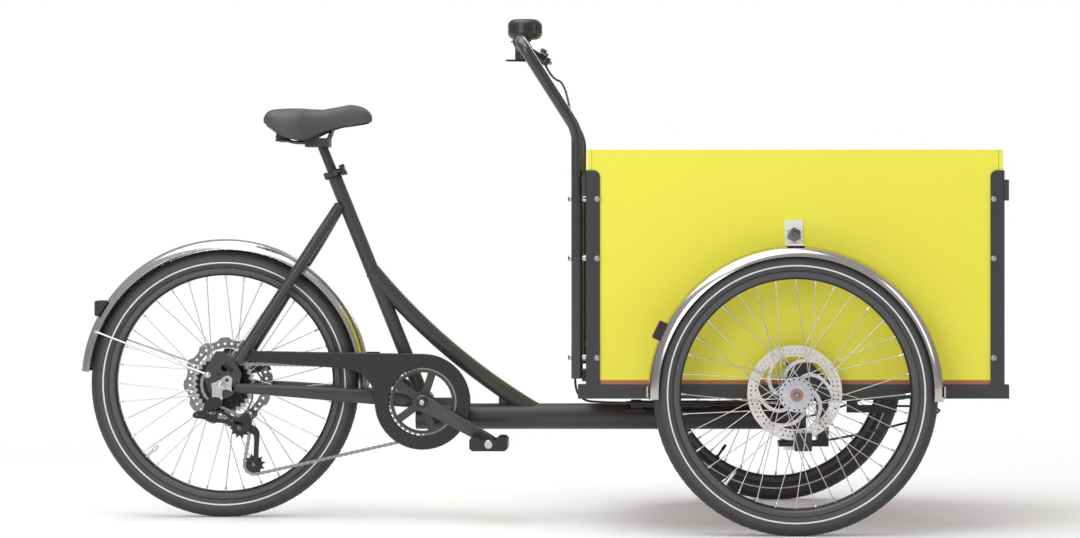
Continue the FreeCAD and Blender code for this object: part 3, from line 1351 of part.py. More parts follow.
angle_outline = [
    (0, 0), (size.angle_size, 0), (size.angle_size, -size.angle_size),
    (size.angle_size - size.angle_thickness, -size.angle_size),
    (size.angle_size - size.angle_thickness, -size.angle_thickness), (0, -size.angle_thickness),
]


def angle_bar(start, out, length):
    """Steel angle under the floor, its upright leg on the outside."""
    return plate("angle_bar", [angle_outline], length, Placement(start, Rotation(out, Z, out.cross(Z), "ZXY")))


def square_tube(x):
    """Cross bearer under the floor."""
    half = size.beam_size / 2
    wall = size.angle_thickness
    outer = block(at(x - half, -half_box, rail_low), at(x + half, half_box, size.floor_z))
    inner = block(at(x - half + wall, -half_box - wall, rail_low + wall),
                  at(x + half - wall, half_box + wall, size.floor_z - wall))
    return cut(outer, inner)


inset_y = half_box + size.angle_thickness - size.angle_size
box_frame_pieces = [
    angle_bar(at(rail_front, -inset_y, size.floor_z), -Y, "box_length + rail_tail + rail_nose"),
    angle_bar(at(rail_rear, inset_y, size.floor_z), Y, "box_length + rail_tail + rail_nose"),
    angle_bar(at(box_rear_x + size.angle_size, -half_box, size.floor_z), -X, "2 * box_half_width"),
    angle_bar(at(box_front_x - size.angle_size, half_box, size.floor_z), X, "2 * box_half_width"),
]
for x in (bearer_rear_x, size.wheelbase, bearer_front_x):
    box_frame_pieces.append(square_tube(x))
half_yoke = size.yoke_width / 2
yoke_rear = kingpin_x - size.yoke_back
yoke_bar_rear = kingpin_x + size.yoke_bar_lead
yoke_front = yoke_bar_rear + size.yoke_bar
box_frame_pieces += [
    block(at(yoke_rear, -half_yoke, rail_low - size.yoke_plate), at(yoke_front, half_yoke, rail_low)),
    block(at(yoke_rear, -half_yoke, yoke_low), at(yoke_front, half_yoke, yoke_low + size.yoke_plate)),
    block(at(yoke_bar_rear, -half_yoke, yoke_low), at(yoke_front, half_yoke, rail_low)),
]
plate_rear = size.wheelbase - size.axle_plate_back
plate_front = size.wheelbase + size.axle_plate_lead
axle_outline = [
    (plate_rear, rail_low), (plate_front, rail_low), (plate_front, size.floor_z),
    (plate_front - size.axle_plate_nose, size.axle_plate_top), (plate_rear, size.axle_plate_top),
]
strap_front = size.wheelbase + size.hanger_width
strap_outline = [
    (size.wheelbase, hanger_low), (strap_front, hanger_low), (strap_front, size.floor_z),
    (size.wheelbase, size.floor_z),
]
for outline in (axle_outline, strap_outline):
    side_plate = plate("axle_plate", [outline], "axle_plate", upright(-rail_face))
    box_frame_pieces += [side_plate, mirrored(side_plate)]
splitter_rear = bearer_front_x - size.splitter_length / 2
splitter_front = bearer_front_x + size.splitter_length / 2
splitter_middle = (size.splitter_low + rail_low) / 2
slot_half = size.slot_height / 2
slot_rear = bearer_front_x - size.slot_length / 2
slot_front = slot_rear + size.slot_length
slot = [
    (slot_rear, splitter_middle - slot_half), (slot_front, splitter_middle - slot_half),
    (slot_front + slot_half, splitter_middle, slot_front, splitter_middle + slot_half),
    (slot_rear, splitter_middle + slot_half),
    (slot_rear - slot_half, splitter_middle, slot_rear, splitter_middle - slot_half),
]
splitter = [
    (splitter_rear, size.splitter_low), (splitter_front, size.splitter_low),
    (splitter_front, rail_low), (splitter_rear, rail_low),
]
splitter_face = -size.splitter_y + size.splitter_thickness / 2
box_frame_pieces.append(plate("splitter", [splitter, slot], "splitter_thickness", upright(splitter_face)))
kingpin_length = "head_length + head_seat + head_clear + 2 * yoke_plate"
kingpin_foot = at(kingpin_x, 0, yoke_low)
kingpin_hole = rod("kingpin_radius", kingpin_length + " + overrun", kingpin_foot - Z * size.overrun, Z)
node("box_frame", cut(joined(box_frame_pieces), kingpin_hole))
node("kingpin", joined([
    rod("kingpin_radius", kingpin_length, kingpin_foot, Z),
    hexagon("kingpin_nut", "kingpin_nut_height", kingpin_foot, -Z),
]))


def post_leg(name, thickness, placement):
    """One leg of a corner post, with its inner top corner rounded."""
    tall = size.box_top_z - size.post_drop - size.floor_z
    wide = size.angle_size
    curve = size.post_round
    bevel = curve * (1 - math.sqrt(0.5))
    outline = [
        (0, 0), (wide, 0), (wide, tall - curve), (wide - bevel, tall - bevel, wide - curve, tall), (0, tall),
    ]
    return plate(name, [outline], thickness, placement)


posts = []
for side in SIDES:
    for end, panel_x, socket_drop in ((-1, box_rear_x, size.socket_drop_rear),
                                      (1, box_front_x, size.socket_drop_front)):
        corner_x = panel_x + end * size.angle_thickness
        corner = at(corner_x, side * rail_face, size.floor_z)
        inward = X * -end
        side_leg = post_leg("side_leg", "angle_thickness",
                            Placement(at(corner_x, side * half_box, size.floor_z) if end == side
                                      else corner, Rotation(inward, Z, inward.cross(Z), "ZXY")))
        across = Y * -side
        end_leg = post_leg("end_leg", "angle_thickness",
                           Placement(corner if end == side else at(panel_x, side * rail_face, size.floor_z),
                                     Rotation(across, Z, across.cross(Z), "ZXY")))
        socket_x = corner_x + end * size.socket_out
        foot = at(socket_x, side * rail_face, size.box_top_z - socket_drop - size.socket_length)
        socket = rod("socket_radius", "socket_length", foot, Z)
        socket_hole = rod("socket_bore", "socket_length + 2 * overrun", foot - Z * size.overrun, Z)
        posts.append(cut(joined([side_leg, end_leg, socket]), socket_hole))
node("corner_posts", group(posts))


def bolt(head, along, length):
    """Round-headed bolt from the outside of its head inwards."""
    return joined([rod("bolt_head", "bolt_head_height", head, along), rod("bolt_radius", length, head, along)])


bolts = []
side_bolt = "bolt_head_height + angle_thickness + panel_thickness + bolt_tail"
bar_bolt = "bar_standoff + bar_radius + bolt_head_height + panel_thickness + bolt_tail"
bar_x = box_rear_x - size.bar_standoff
bar_y = half_box - size.bar_inset
bolt_high = size.box_top_z - size.bolt_drop
bolt_low = size.floor_z + size.bolt_rise
bolt_middle = bolt_low + BOLT_MIDDLE_SHARE * (bolt_high - bolt_low)
for z in (bolt_high, bolt_middle, bolt_low):
    for side in SIDES:
        for x in (box_rear_x + size.bolt_inset, box_front_x - size.bolt_inset):
            head = at(x, side * (rail_face + size.bolt_head_height), z)
            bolts.append(bolt(head, Y * -side, side_bolt))
        head = at(bar_x - size.bar_radius - size.bolt_head_height, side * bar_y, z)
        spacer = rod_between("bolt_head", at(bar_x, side * bar_y, z),
                             at(box_rear_x - size.angle_thickness, side * bar_y, z))
        bolts.append(joined([bolt(head, X, bar_bolt), spacer]))
node("box_bolts", group(bolts))


# Front axles and brake calipers

caliper_low = hanger_low - size.caliper_drop
caliper_reach = half_track - size.front_rotor_y + size.caliper_lip
stubs = []
calipers = []
for side in SIDES:
    out = Y * side
    centre = front_axles[side]
    root = at(size.wheelbase, side * (rail_face + size.axle_plate), 0)
    cap = centre + out * (size.hub_nose_length + size.seat_gap)
    stub_pieces = [
        rod_between("axle_radius", root, cap),
        rod("washer_radius", "washer_thickness", cap, out),
        hexagon("axle_bolt_head", "axle_bolt_height", cap + out * size.washer_thickness, out),
    ]
    stubs.append(joined(stub_pieces))
    low_y, high_y = sorted((side * (rail_face + size.axle_plate), side * caliper_reach))
    body = block(at(size.wheelbase, low_y, caliper_low),
                 at(size.wheelbase + size.caliper_length, high_y, caliper_low + size.caliper_height))
    rotor_inner = centre - out * (size.front_rotor_y + size.pad_gap)
    gap = rod("rotor_radius + 2 * pad_gap", "rotor_thickness + 2 * pad_gap", rotor_inner, out)
    calipers.append(cut(body, gap))
node("stub_axles", group(stubs))
node("front_calipers", group(calipers))


# Handlebar and its controls

knee_z = size.box_top_z + size.bar_knee_rise
bar_top_x = bar_x - size.bar_sweep
bar_top_z = knee_z + size.bar_lift
shoulder_y = bar_y - size.bar_shoulder
bar_slant = Vector(-size.bar_sweep, 0, size.bar_lift).normalize()
bar_points = []
for side in SIDES:
    corner = at(bar_top_x, side * bar_y, bar_top_z) - bar_slant * size.bar_rise
    half_bar = [
        at(bar_x, side * bar_y, size.floor_z + size.bar_foot), at(bar_x, side * bar_y, knee_z), corner,
        at(bar_top_x, side * shoulder_y, bar_top_z),
    ]
    bar_points += half_bar if side == RIGHT else half_bar[::-1]
bar_bends = [size.bar_knee, size.bar_corner, size.bar_rise_curve]
node("handlebar", bent("bar_radius", bar_points, bar_bends + bar_bends[::-1], "bar_radius - bar_wall"))

bar_middle = at(bar_top_x, 0, bar_top_z)
grip_in = shoulder_y - size.grip_inset - size.grip_length
perch_y = grip_in - size.perch_gap - size.perch_length
grips = []
for side in SIDES:
    grips.append(ring("grip_radius", "bar_radius", "grip_length", bar_middle + Y * side * grip_in, Y * side))
node("grips", group(grips))

reach_way = Vector(math.cos(math.radians(PERCH_DEG)), 0, -math.sin(math.radians(PERCH_DEG)))
lift_way = reach_way.cross(Y)
perch_turn = Rotation(reach_way, Y, lift_way, "ZXY")
lever_low = size.perch_thickness / 2 + size.seat_gap
clamps = []
for side in SIDES:
    out = Y * side
    start = bar_middle + out * perch_y
    middle = start + out * (size.perch_length / 2)
    half_width = size.perch_width / 2
    arm_block = block(Vector(0, -half_width, -size.perch_thickness / 2),
                      Vector(size.perch_reach + half_width, half_width, size.perch_thickness / 2),
                      perch_turn, middle)
    bar_hole = rod("bar_radius", "perch_length + 2 * overrun", start - out * size.overrun, out)
    pivot = middle + reach_way * size.perch_reach
    perch = cut(joined([rod("perch_radius", "perch_length", start, out), arm_block]), bar_hole)
    pin = rod("lever_pin", "perch_thickness / 2 + seat_gap + brake_lever_thickness", pivot, lift_way)
    clamps.append(joined([perch, pin]))
    base = pivot + lift_way * lever_low
    blade_outline = shared(LEVER_SHARES, size.brake_lever_length, -side * size.brake_lever_depth)
    blade = plate("lever_blade", [blade_outline], "brake_lever_thickness",
                  Placement(base, Rotation(out, lift_way.cross(out), lift_way, "ZXY")))
    hub = rod("brake_lever_hub", "brake_lever_thickness", base, lift_way)
    pin_hole = rod("lever_pin + running_gap", "brake_lever_thickness + 2 * overrun",
                   base - lift_way * size.overrun, lift_way)
    node("brake_lever_right" if side == RIGHT else "brake_lever_left", cut(joined([blade, hub]), pin_hole))

shifter = bar_middle - Y * (perch_y - size.shifter_gap)
puck_axis = shifter - Y * (size.perch_width / 2)
puck_low = puck_axis - Z * (size.bar_radius + size.shifter_height)
shifter_body = joined([
    rod("perch_radius", "perch_width", shifter, -Y),
    rod("shifter_radius", "shifter_height + bar_radius", puck_low, Z),
])
shifter_hole = rod("bar_radius", "2 * shifter_radius + perch_width", shifter + Y * size.shifter_radius, -Y)
shifter_pin = rod("lever_pin", "paddle_thickness + 2 * seat_gap", puck_low, -Z)
clamps.append(joined([cut(shifter_body, shifter_hole), shifter_pin]))
node("control_clamps", group(clamps))

paddle_base = puck_low - Z * (size.paddle_thickness + size.seat_gap)
half = size.paddle_width / 2
paddle_outline = [
    (0, -half), (size.paddle_length - half, -half),
    (size.paddle_length, 0, size.paddle_length - half, half), (0, half), (-half, 0, 0, -half),
]
paddle_hole = ("circle", 0, 0, size.lever_pin + size.running_gap)
node("shift_lever", plate("shift_paddle", [paddle_outline, paddle_hole], "paddle_thickness",
                          Placement(paddle_base, Rotation(Z, PADDLE_DEG))))

bell_axis = bar_middle + Y * (perch_y - size.bell_gap)
bell_base = bell_axis + Z * size.bell_rise
bell_curve = size.bell_round
bevel = bell_curve * (1 - math.sqrt(0.5))
bell_inner = size.bell_radius - bell_curve
seam_low = (size.bell_height - size.bell_seam) / 2
seam_high = (size.bell_height + size.bell_seam) / 2
bell_outline = [
    (0, 0), (bell_inner, 0), (size.bell_radius - bevel, bevel, size.bell_radius, bell_curve),
    (size.bell_radius, seam_low), (size.bell_radius - size.bell_seam, seam_low),
    (size.bell_radius - size.bell_seam, seam_high), (size.bell_radius, seam_high),
    (size.bell_radius, size.bell_height - bell_curve),
    (size.bell_radius - bevel, size.bell_height - bevel, bell_inner, size.bell_height), (0, size.bell_height),
]
bell_half = size.bell_clamp / 2
bell_ring = ring("perch_radius", "bar_radius", "bell_clamp", bell_axis - Y * bell_half, Y)
bell_neck = cut(rod_between("bell_neck", bell_axis, bell_base),
                rod("bar_radius", "bell_clamp + 2 * overrun", bell_axis - Y * (bell_half + size.overrun), Y))
node("bell", joined([turned("bell_dome", bell_outline, bell_base, Z), bell_neck, bell_ring]))
thumb_low = bell_base - Z * (size.thumb_thickness + size.bell_seam)
half = size.thumb_width / 2
thumb_lean = math.sqrt(size.thumb_ring ** 2 - half ** 2)
thumb_outline = [
    (thumb_lean, -half), (size.thumb_reach - half, -half), (size.thumb_reach, 0, size.thumb_reach - half, half),
    (thumb_lean, half), (-size.thumb_ring, 0, thumb_lean, -half),
]
thumb_hole = ("circle", 0, 0, size.bell_neck + size.running_gap)
node("bell_lever", plate("thumb_lever", [thumb_outline, thumb_hole], "thumb_thickness",
                         Placement(thumb_low, Rotation(Z, THUMB_DEG))))


# Brake cables, each a whole tube with its ends on the pieces it serves

perch_pivot = bar_middle - Y * (perch_y + size.perch_length / 2) + reach_way * size.perch_reach
cable_start = perch_pivot + Y * (size.perch_width / 2)
cable_y = -bar_y + size.bar_radius + size.cable_out
cable_x = bar_x - size.cable_radius * 3
under_z = rail_low - size.cable_drop
splitter_z = splitter_middle + slot_half
main_cable = [
    cable_start, cable_start + Y * size.cable_lead,
    at(bar_top_x + size.cable_loop_x, -perch_y, knee_z + size.cable_loop_z),
    at(cable_x, cable_y, knee_z), at(cable_x, cable_y, under_z),
    at(bearer_rear_x, cable_y, under_z), at(size.wheelbase, -size.splitter_y, splitter_z),
    at(splitter_rear, -size.splitter_y, splitter_z),
]
cables = [bent("cable_radius", main_cable, [size.cable_curve] * (len(main_cable) - 2))]
caliper_z = caliper_low + size.caliper_height / 2
cable_lane = rail_face + size.axle_plate + size.cable_lane
for side, rise, lead in ((RIGHT, -1, 2), (LEFT, 1, 1)):
    start_z = splitter_middle + rise * (slot_half + size.cable_radius)
    loop_x = splitter_front + lead * size.cable_loop
    points = [
        at(splitter_front, -size.splitter_y, start_z), at(loop_x, -size.splitter_y, start_z),
        at(loop_x, side * cable_lane, start_z),
        at(size.wheelbase + size.caliper_length + size.cable_loop, side * cable_lane, caliper_z),
        at(size.wheelbase + size.caliper_length, side * cable_lane, caliper_z),
    ]
    cables.append(bent("cable_radius", points, [size.cable_curve] * (len(points) - 2)))
node("brake_cables", group(cables))


# Check and export

doc.recompute()
for thing in doc.Objects:
    if "Invalid" in thing.State or "Error" in thing.State:
        raise RuntimeError(f"{thing.Label} did not compute")
os.makedirs("parts", exist_ok=True)
for thing in nodes:
    if thing.Shape.isNull() or not thing.Shape.isValid():
        raise RuntimeError(f"{thing.Label} has no valid shape")
    thing.Shape.exportStep(f"parts/{thing.Label}.step")
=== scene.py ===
import json
import math

import bmesh
import bpy
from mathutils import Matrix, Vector
from mathutils.geometry import delaunay_2d_cdt


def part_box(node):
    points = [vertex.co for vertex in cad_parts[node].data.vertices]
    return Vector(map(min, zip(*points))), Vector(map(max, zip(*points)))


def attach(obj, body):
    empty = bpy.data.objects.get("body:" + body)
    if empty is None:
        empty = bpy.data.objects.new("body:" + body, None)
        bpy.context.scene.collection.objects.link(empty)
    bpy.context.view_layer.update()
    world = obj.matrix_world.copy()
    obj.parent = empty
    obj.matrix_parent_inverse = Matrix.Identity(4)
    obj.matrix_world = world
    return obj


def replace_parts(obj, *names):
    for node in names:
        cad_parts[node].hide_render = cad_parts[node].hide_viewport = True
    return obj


# Looks of the cargo tricycle. Metres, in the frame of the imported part: +X forward, +Y left, +Z up.

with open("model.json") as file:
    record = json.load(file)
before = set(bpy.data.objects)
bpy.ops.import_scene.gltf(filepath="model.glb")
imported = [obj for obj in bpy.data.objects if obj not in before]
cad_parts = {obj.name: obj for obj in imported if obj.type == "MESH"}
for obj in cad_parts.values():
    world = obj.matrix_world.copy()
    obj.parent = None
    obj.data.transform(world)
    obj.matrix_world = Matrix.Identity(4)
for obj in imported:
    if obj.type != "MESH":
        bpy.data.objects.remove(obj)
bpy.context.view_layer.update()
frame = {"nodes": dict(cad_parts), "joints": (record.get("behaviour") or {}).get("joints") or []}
nodes = frame["nodes"]
joints = {joint["name"]: joint for joint in frame["joints"]}


def spot(joint):
    """A joint's place at rest."""
    return Vector(joints[joint]["pos_m"])


X = Vector((1, 0, 0))
Y = Vector((0, 1, 0))
Z = Vector((0, 0, 1))
SIDES = {"right": -1, "left": 1}
# Each wheel's body, centre and outward side
WHEELS = {
    "rear": ("rear_wheel", spot("rear_wheel_spin"), 1),
    "front_right": ("front_wheel_right", spot("front_right_spin"), -1),
    "front_left": ("front_wheel_left", spot("front_left_spin"), 1),
}
REAR_AXLE = spot("rear_wheel_spin")
FRONT_AXLE = spot("front_right_spin")
BRACKET = spot("crank_spin")
PANEL_LOW, PANEL_HIGH = (corner.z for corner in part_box("box_panels"))

# Wheels: radii from the axle
SPOKES_PER_FLANGE = 18
SPOKE_CROSS_DEG = 60
SPOKE_LAY = 0.0022
STRIPE_RADIUS = 0.2718
STRIPE_WIDTH = 0.003
WALL_RADIUS = 0.28
TREAD_RADIUS = 0.2885
TYRE_MIDDLE = 0.2784
TYRE_ROUND = 0.0221
RIM_INNER_RADIUS = 0.243
RIM_EDGE_RADIUS = 0.2465
RIM_EDGE_HALF = 0.0006
# Places of the spoke flanges along the axle, and radius of their spoke holes
FLANGES = {"rear": [(-0.024, 0.026), (0.03, 0.026)], "front": [(-0.024, 0.029), (0.028, 0.033)]}


# Materials: heights and widths of what they draw, and where it lies

WALL_RIB = 0.0035
LAYER_HEIGHT = 0.0034
GRIP_RIB = 0.006
WASHER_FACES = (0.4304, 0.4324)
WASHER_BORE = 0.0068
BIG_COG_Y = -0.0345
GUARD_CROWN = FRONT_AXLE.z + 0.3145
TOOTH_ROOT = 0.0715
# Middle range of a noise pattern, depths of grain, and half of a soft or a fine change of colour
PATTERN_MIDDLE = (0.3, 0.7)
FINE_BUMP = 0.0002
SKIN_BUMP = 0.0003
WOOD_BUMP = 0.0005
PRISM_BUMP = 0.0006
RIB_BUMP = 0.0008
SOFT_EDGE = 0.0005
FINE_EDGE = 0.0003


class Graph:
    """The nodes of a material or of the world, and the few kinds of node that the looks are made of."""

    def __init__(self, owner, shader="Principled BSDF", space="Object"):
        self.owner = owner
        owner.use_nodes = True
        self.tree = owner.node_tree
        self.shader = self.tree.nodes[shader]
        self.place = self.tree.nodes.new("ShaderNodeTexCoord").outputs[space]

    def node(self, kind, inputs=(), **settings):
        """A new node, with its inputs by name or number."""
        made = self.tree.nodes.new("ShaderNode" + kind)
        for name, value in settings.items():
            setattr(made, name, value)
        for key, value in dict(inputs).items():
            self.feed(made.inputs[key], value)
        return made

    def feed(self, socket, value):
        """Links another node's output to a socket, or sets a plain value on it."""
        if isinstance(value, bpy.types.NodeSocket):
            self.tree.links.new(value, socket)
        else:
            socket.default_value = value

    def set(self, **values):
        for name, value in values.items():
            self.feed(self.shader.inputs[name.replace("_", " ")], value)

    def math(self, operation, first, second=0.0, third=0.0):
        return self.node("Math", {0: first, 1: second, 2: third}, operation=operation).outputs[0]

    def axes(self, centre=(0, 0, 0)):
        """The three coordinates of the shaded point, counted from a centre."""
        moved = self.node("VectorMath", {0: self.place, 1: centre}, operation="SUBTRACT")
        return self.node("SeparateXYZ", {"Vector": moved.outputs[0]}).outputs

    def radius(self, first, second):
        """Distance from an axis, from the two coordinates across it."""
        squares = [self.math("MULTIPLY", value, value) for value in (first, second)]
        return self.math("SQRT", self.math("ADD", *squares))

    def from_axle(self, centre):
        """Distance from the wheel axis through a centre."""
        along, _, up = self.axes(centre)
        return self.radius(along, up)

    def noise(self, scale, detail=3.0, stretch=(1, 1, 1)):
        placed = self.node("Mapping", {"Vector": self.place, "Scale": stretch})
        settings = {"Vector": placed.outputs[0], "Scale": scale, "Detail": detail}
        return self.node("TexNoise", settings).outputs[0]

    def bands(self, value, scale, detail=2.0):
        """Noise that changes with one value alone, such as the turned lines about an axis."""
        settings = {"W": value, "Scale": scale, "Detail": detail}
        return self.node("TexNoise", settings, noise_dimensions="1D").outputs[0]

    def between(self, value, low, high, smooth=FINE_EDGE):
        """One inside a range, zero outside, with soft edges."""
        rise = self.ramp(value, low - smooth, low + smooth)
        fall = self.ramp(value, high + smooth, high - smooth)
        return self.math("MULTIPLY", rise, fall)

    def ramp(self, value, low, high, to_low=0.0, to_high=1.0):
        ends = {"From Min": low, "From Max": high, "To Min": to_low, "To Max": to_high}
        return self.node("MapRange", {"Value": value, **ends}).outputs[0]

    def mix(self, share, first, second):
        return self.node("Mix", {"Factor": share, 6: first, 7: second}, data_type="RGBA").outputs[2]

    def sheen(self, pattern, low, high):
        """Roughness that follows the middle range of a pattern."""
        self.set(Roughness=self.ramp(pattern, *PATTERN_MIDDLE, low, high))

    def bump(self, height, strength, distance=FINE_BUMP):
        made = self.node("Bump", {"Height": height, "Strength": strength, "Distance": distance})
        self.set(Normal=made.outputs[0])

    def two_tone(self, share, first, second, pattern, metallic, rough, strength=0.08):
        """Two finishes mixed by a share, each with its dark and light tone in the same pattern."""
        tones = [self.mix(pattern, *tone) for tone in (first, second)]
        self.set(Base_Color=self.mix(share, *tones), Metallic=metallic)
        self.sheen(pattern, *rough)
        self.bump(pattern, strength)


def linear(red, green, blue):
    """Colour as written on screen, from 0 to 255, in the shader's linear values."""
    def channel(value):
        share = value / 255
        return share / 12.92 if share <= 0.04045 else ((share + 0.055) / 1.055) ** 2.4
    return (channel(red), channel(green), channel(blue), 1.0)


def grey(level):
    return linear(level, level, level + 2)


def warm_grey(level):
    return linear(level + 4, level - 2, level - 4)


def shade(colour, share):
    return tuple(min(1.0, value * share) for value in colour[:3]) + (1.0,)


def look(draw):
    """Maker of a material, from a function that draws its nodes."""
    def make(name, *values, **settings):
        graph = Graph(bpy.data.materials.new(name))
        draw(graph, *values, **settings)
        return graph.owner
    return make


@look
def coated(graph, colour, rough, metallic=0.0, peel=0.12, peel_scale=900, clear=0.0):
    """Paint or moulded plastic: slow changes of tone and sheen, and a fine skin."""
    tone = graph.mix(graph.noise(6.0), shade(colour, 0.9), shade(colour, 1.1))
    graph.set(Base_Color=tone, Metallic=metallic, Coat_Weight=clear)
    graph.sheen(graph.noise(45.0), rough - 0.04, rough + 0.04)
    graph.bump(graph.noise(peel_scale, 2.0), peel, 2 * FINE_BUMP)


@look
def metal(graph, colour, rough, grain=0.1):
    """Bare metal with a drawn or polished grain."""
    lines = graph.noise(260.0, 4.0)
    graph.set(Base_Color=graph.mix(graph.noise(9.0), shade(colour, 0.93), shade(colour, 1.05)), Metallic=1.0)
    graph.sheen(lines, rough * 0.7, rough * 1.3)
    graph.bump(lines, grain)


@look
def tyre_rubber(graph, centre):
    """Dark rubber with a pale reflective line, ribs on the wall and a paler band beside the line."""
    radius = graph.from_axle(centre)
    stripe = graph.between(radius, STRIPE_RADIUS - STRIPE_WIDTH / 2, STRIPE_RADIUS + STRIPE_WIDTH / 2)
    wall = graph.ramp(radius, TREAD_RADIUS, WALL_RADIUS)
    rubber = graph.mix(wall, grey(54), grey(78))
    worn = graph.mix(graph.math("MULTIPLY", graph.noise(30.0), 0.5), rubber, grey(50))
    graph.set(Base_Color=graph.mix(stripe, worn, grey(232)))
    graph.set(Roughness=graph.ramp(stripe, 0.0, 1.0, 0.6, 0.3))
    ribs = graph.math("SINE", graph.math("MULTIPLY", radius, 2 * math.pi / WALL_RIB))
    fine = graph.math("MULTIPLY", graph.noise(700.0, 2.0), 0.3)
    graph.bump(graph.math("ADD", graph.math("MULTIPLY", ribs, wall), fine), 0.25, RIB_BUMP)


@look
def rim_alloy(graph, centre):
    """Dark anodised rim with a black inner edge and a turned band."""
    radius = graph.from_axle(centre)
    inside = graph.ramp(radius, RIM_EDGE_RADIUS + RIM_EDGE_HALF, RIM_EDGE_RADIUS - RIM_EDGE_HALF)
    band, edge = (grey(82), grey(100)), (grey(38), grey(38))
    graph.two_tone(inside, band, edge, graph.bands(radius, 1500.0), 0.5, (0.32, 0.44), 0.1)


@look
def turned_metal(graph, centre, dark, light, metallic, rough):
    """Metal about a wheel's axis with the fine lines of turning or grinding."""
    turning = graph.bands(graph.from_axle(centre), 1100.0)
    graph.set(Base_Color=graph.mix(turning, warm_grey(dark), warm_grey(light)), Metallic=metallic)
    graph.sheen(turning, rough * 0.75, rough * 1.25)
    graph.bump(turning, 0.08)


@look
def hub_alloy(graph, centre):
    """Pale cast hub with soft streaks that run out from its middle: its radial grooves and a painted sheen.
    """
    along, _, up = graph.axes(centre)
    # Painted sheen: light and dark streaks round the axis stand for streaked reflections as well as the
    # radial grooves
    streaks = graph.bands(graph.math("ARCTAN2", up, along), 7.0, 3.0)
    graph.set(Base_Color=graph.mix(streaks, linear(176, 174, 184), linear(226, 224, 232)), Metallic=0.55)
    graph.sheen(streaks, 0.34, 0.46)
    graph.bump(graph.noise(500.0, 2.0), 0.06)


@look
def laminate(graph):
    """Yellow board with painted shade that makes it a little darker low down, and a fine pebbled face."""
    # Painted shade: the yellow is mixed a little darker towards the bottom of the panels
    height = graph.ramp(graph.axes()[2], PANEL_LOW, PANEL_HIGH)
    yellow_with_painted_shade = graph.mix(height, linear(236, 227, 66), linear(243, 238, 80))
    graph.set(Base_Color=graph.mix(graph.noise(2.5), yellow_with_painted_shade, linear(240, 233, 74)))
    graph.sheen(graph.noise(60.0), 0.4, 0.48)
    graph.bump(graph.noise(1400.0, 2.0), 0.1, SKIN_BUMP)


@look
def plywood(graph):
    """Film-faced board with the thin layers of its edge."""
    layer = graph.math("SINE", graph.math("MULTIPLY", graph.axes()[2], 2 * math.pi / LAYER_HEIGHT))
    streaks = graph.noise(40.0, 5.0, (1, 1, 20))
    wood = graph.mix(streaks, linear(176, 106, 68), linear(202, 134, 92))
    graph.set(Base_Color=graph.mix(graph.ramp(layer, 0.55, 0.9), wood, linear(120, 68, 44)), Roughness=0.55)
    graph.bump(streaks, 0.2, WOOD_BUMP)


@look
def leatherette(graph):
    """Smooth saddle skin with a fine grain."""
    cells = graph.node("TexVoronoi", {"Vector": graph.place, "Scale": 620.0}, feature="DISTANCE_TO_EDGE")
    creases = graph.ramp(cells.outputs["Distance"], 0.0, 0.25)
    graph.set(Base_Color=graph.mix(graph.noise(8.0), grey(68), grey(80)))
    graph.sheen(graph.noise(30.0), 0.46, 0.58)
    graph.bump(creases, 0.16, SKIN_BUMP)


@look
def ribbed_rubber(graph):
    """Hand grip with rings along the bar."""
    rings = graph.math("SINE", graph.math("MULTIPLY", graph.axes()[1], 2 * math.pi / GRIP_RIB))
    graph.set(Base_Color=graph.mix(graph.noise(20.0), grey(64), grey(82)), Roughness=0.7)
    graph.bump(rings, 0.35, RIB_BUMP)


@look
def lens_plastic(graph, colour):
    """Coloured plastic with the small prisms of a reflector."""
    cells = graph.node("TexVoronoi", {"Vector": graph.place, "Scale": 330.0}).outputs["Distance"]
    graph.set(Base_Color=graph.mix(cells, shade(colour, 0.7), shade(colour, 1.3)))
    graph.set(Roughness=0.12, Coat_Weight=0.6)
    graph.bump(cells, 0.3, PRISM_BUMP)


@look
def axle_metal(graph):
    """Zinc steel with a copper washer under the bolt of each stub axle."""
    along, across, up = graph.axes((FRONT_AXLE.x, 0, FRONT_AXLE.z))
    washer = graph.between(graph.math("ABSOLUTE", across), *WASHER_FACES)
    band = graph.math("GREATER_THAN", graph.radius(along, up), WASHER_BORE)
    grain = graph.noise(260.0)
    steel = graph.mix(grain, grey(176), grey(206))
    copper = graph.mix(grain, linear(170, 86, 44), linear(196, 106, 58))
    graph.set(Base_Color=graph.mix(graph.math("MULTIPLY", washer, band), steel, copper), Metallic=1.0)
    graph.sheen(grain, 0.22, 0.34)


@look
def bracket_steel(graph):
    """Polished mudguards that turn to a brighter satin on the brackets above them."""
    bracket = graph.ramp(graph.axes()[2], GUARD_CROWN - SOFT_EDGE, GUARD_CROWN + SOFT_EDGE)
    polish = graph.mix(graph.noise(9.0), linear(188, 182, 179), linear(206, 201, 198))
    graph.set(Base_Color=graph.mix(bracket, polish, linear(240, 239, 238)))
    graph.set(Metallic=graph.ramp(bracket, 0.0, 1.0, 1.0, 0.25))
    graph.set(Roughness=graph.ramp(bracket, 0.0, 1.0, 0.17, 0.4))
    graph.bump(graph.noise(260.0, 4.0), 0.02)


@look
def cog_steel(graph):
    """Black small cogs and a bright big one, told apart by their place along the axle."""
    big = graph.ramp(graph.axes()[1], BIG_COG_Y - SOFT_EDGE, BIG_COG_Y + SOFT_EDGE)
    black, bright = (grey(40), grey(54)), (grey(168), grey(196))
    graph.two_tone(big, black, bright, graph.noise(300.0), 0.9, (0.3, 0.42))


@look
def chainring_steel(graph):
    """Dark spider with bright worn teeth round it."""
    teeth = graph.ramp(graph.from_axle(BRACKET), TOOTH_ROOT - 2 * SOFT_EDGE, TOOTH_ROOT + 2 * SOFT_EDGE)
    dark, worn = (linear(72, 70, 67), linear(88, 86, 83)), (grey(120), grey(168))
    graph.two_tone(teeth, dark, worn, graph.noise(240.0), 0.6, (0.38, 0.5))


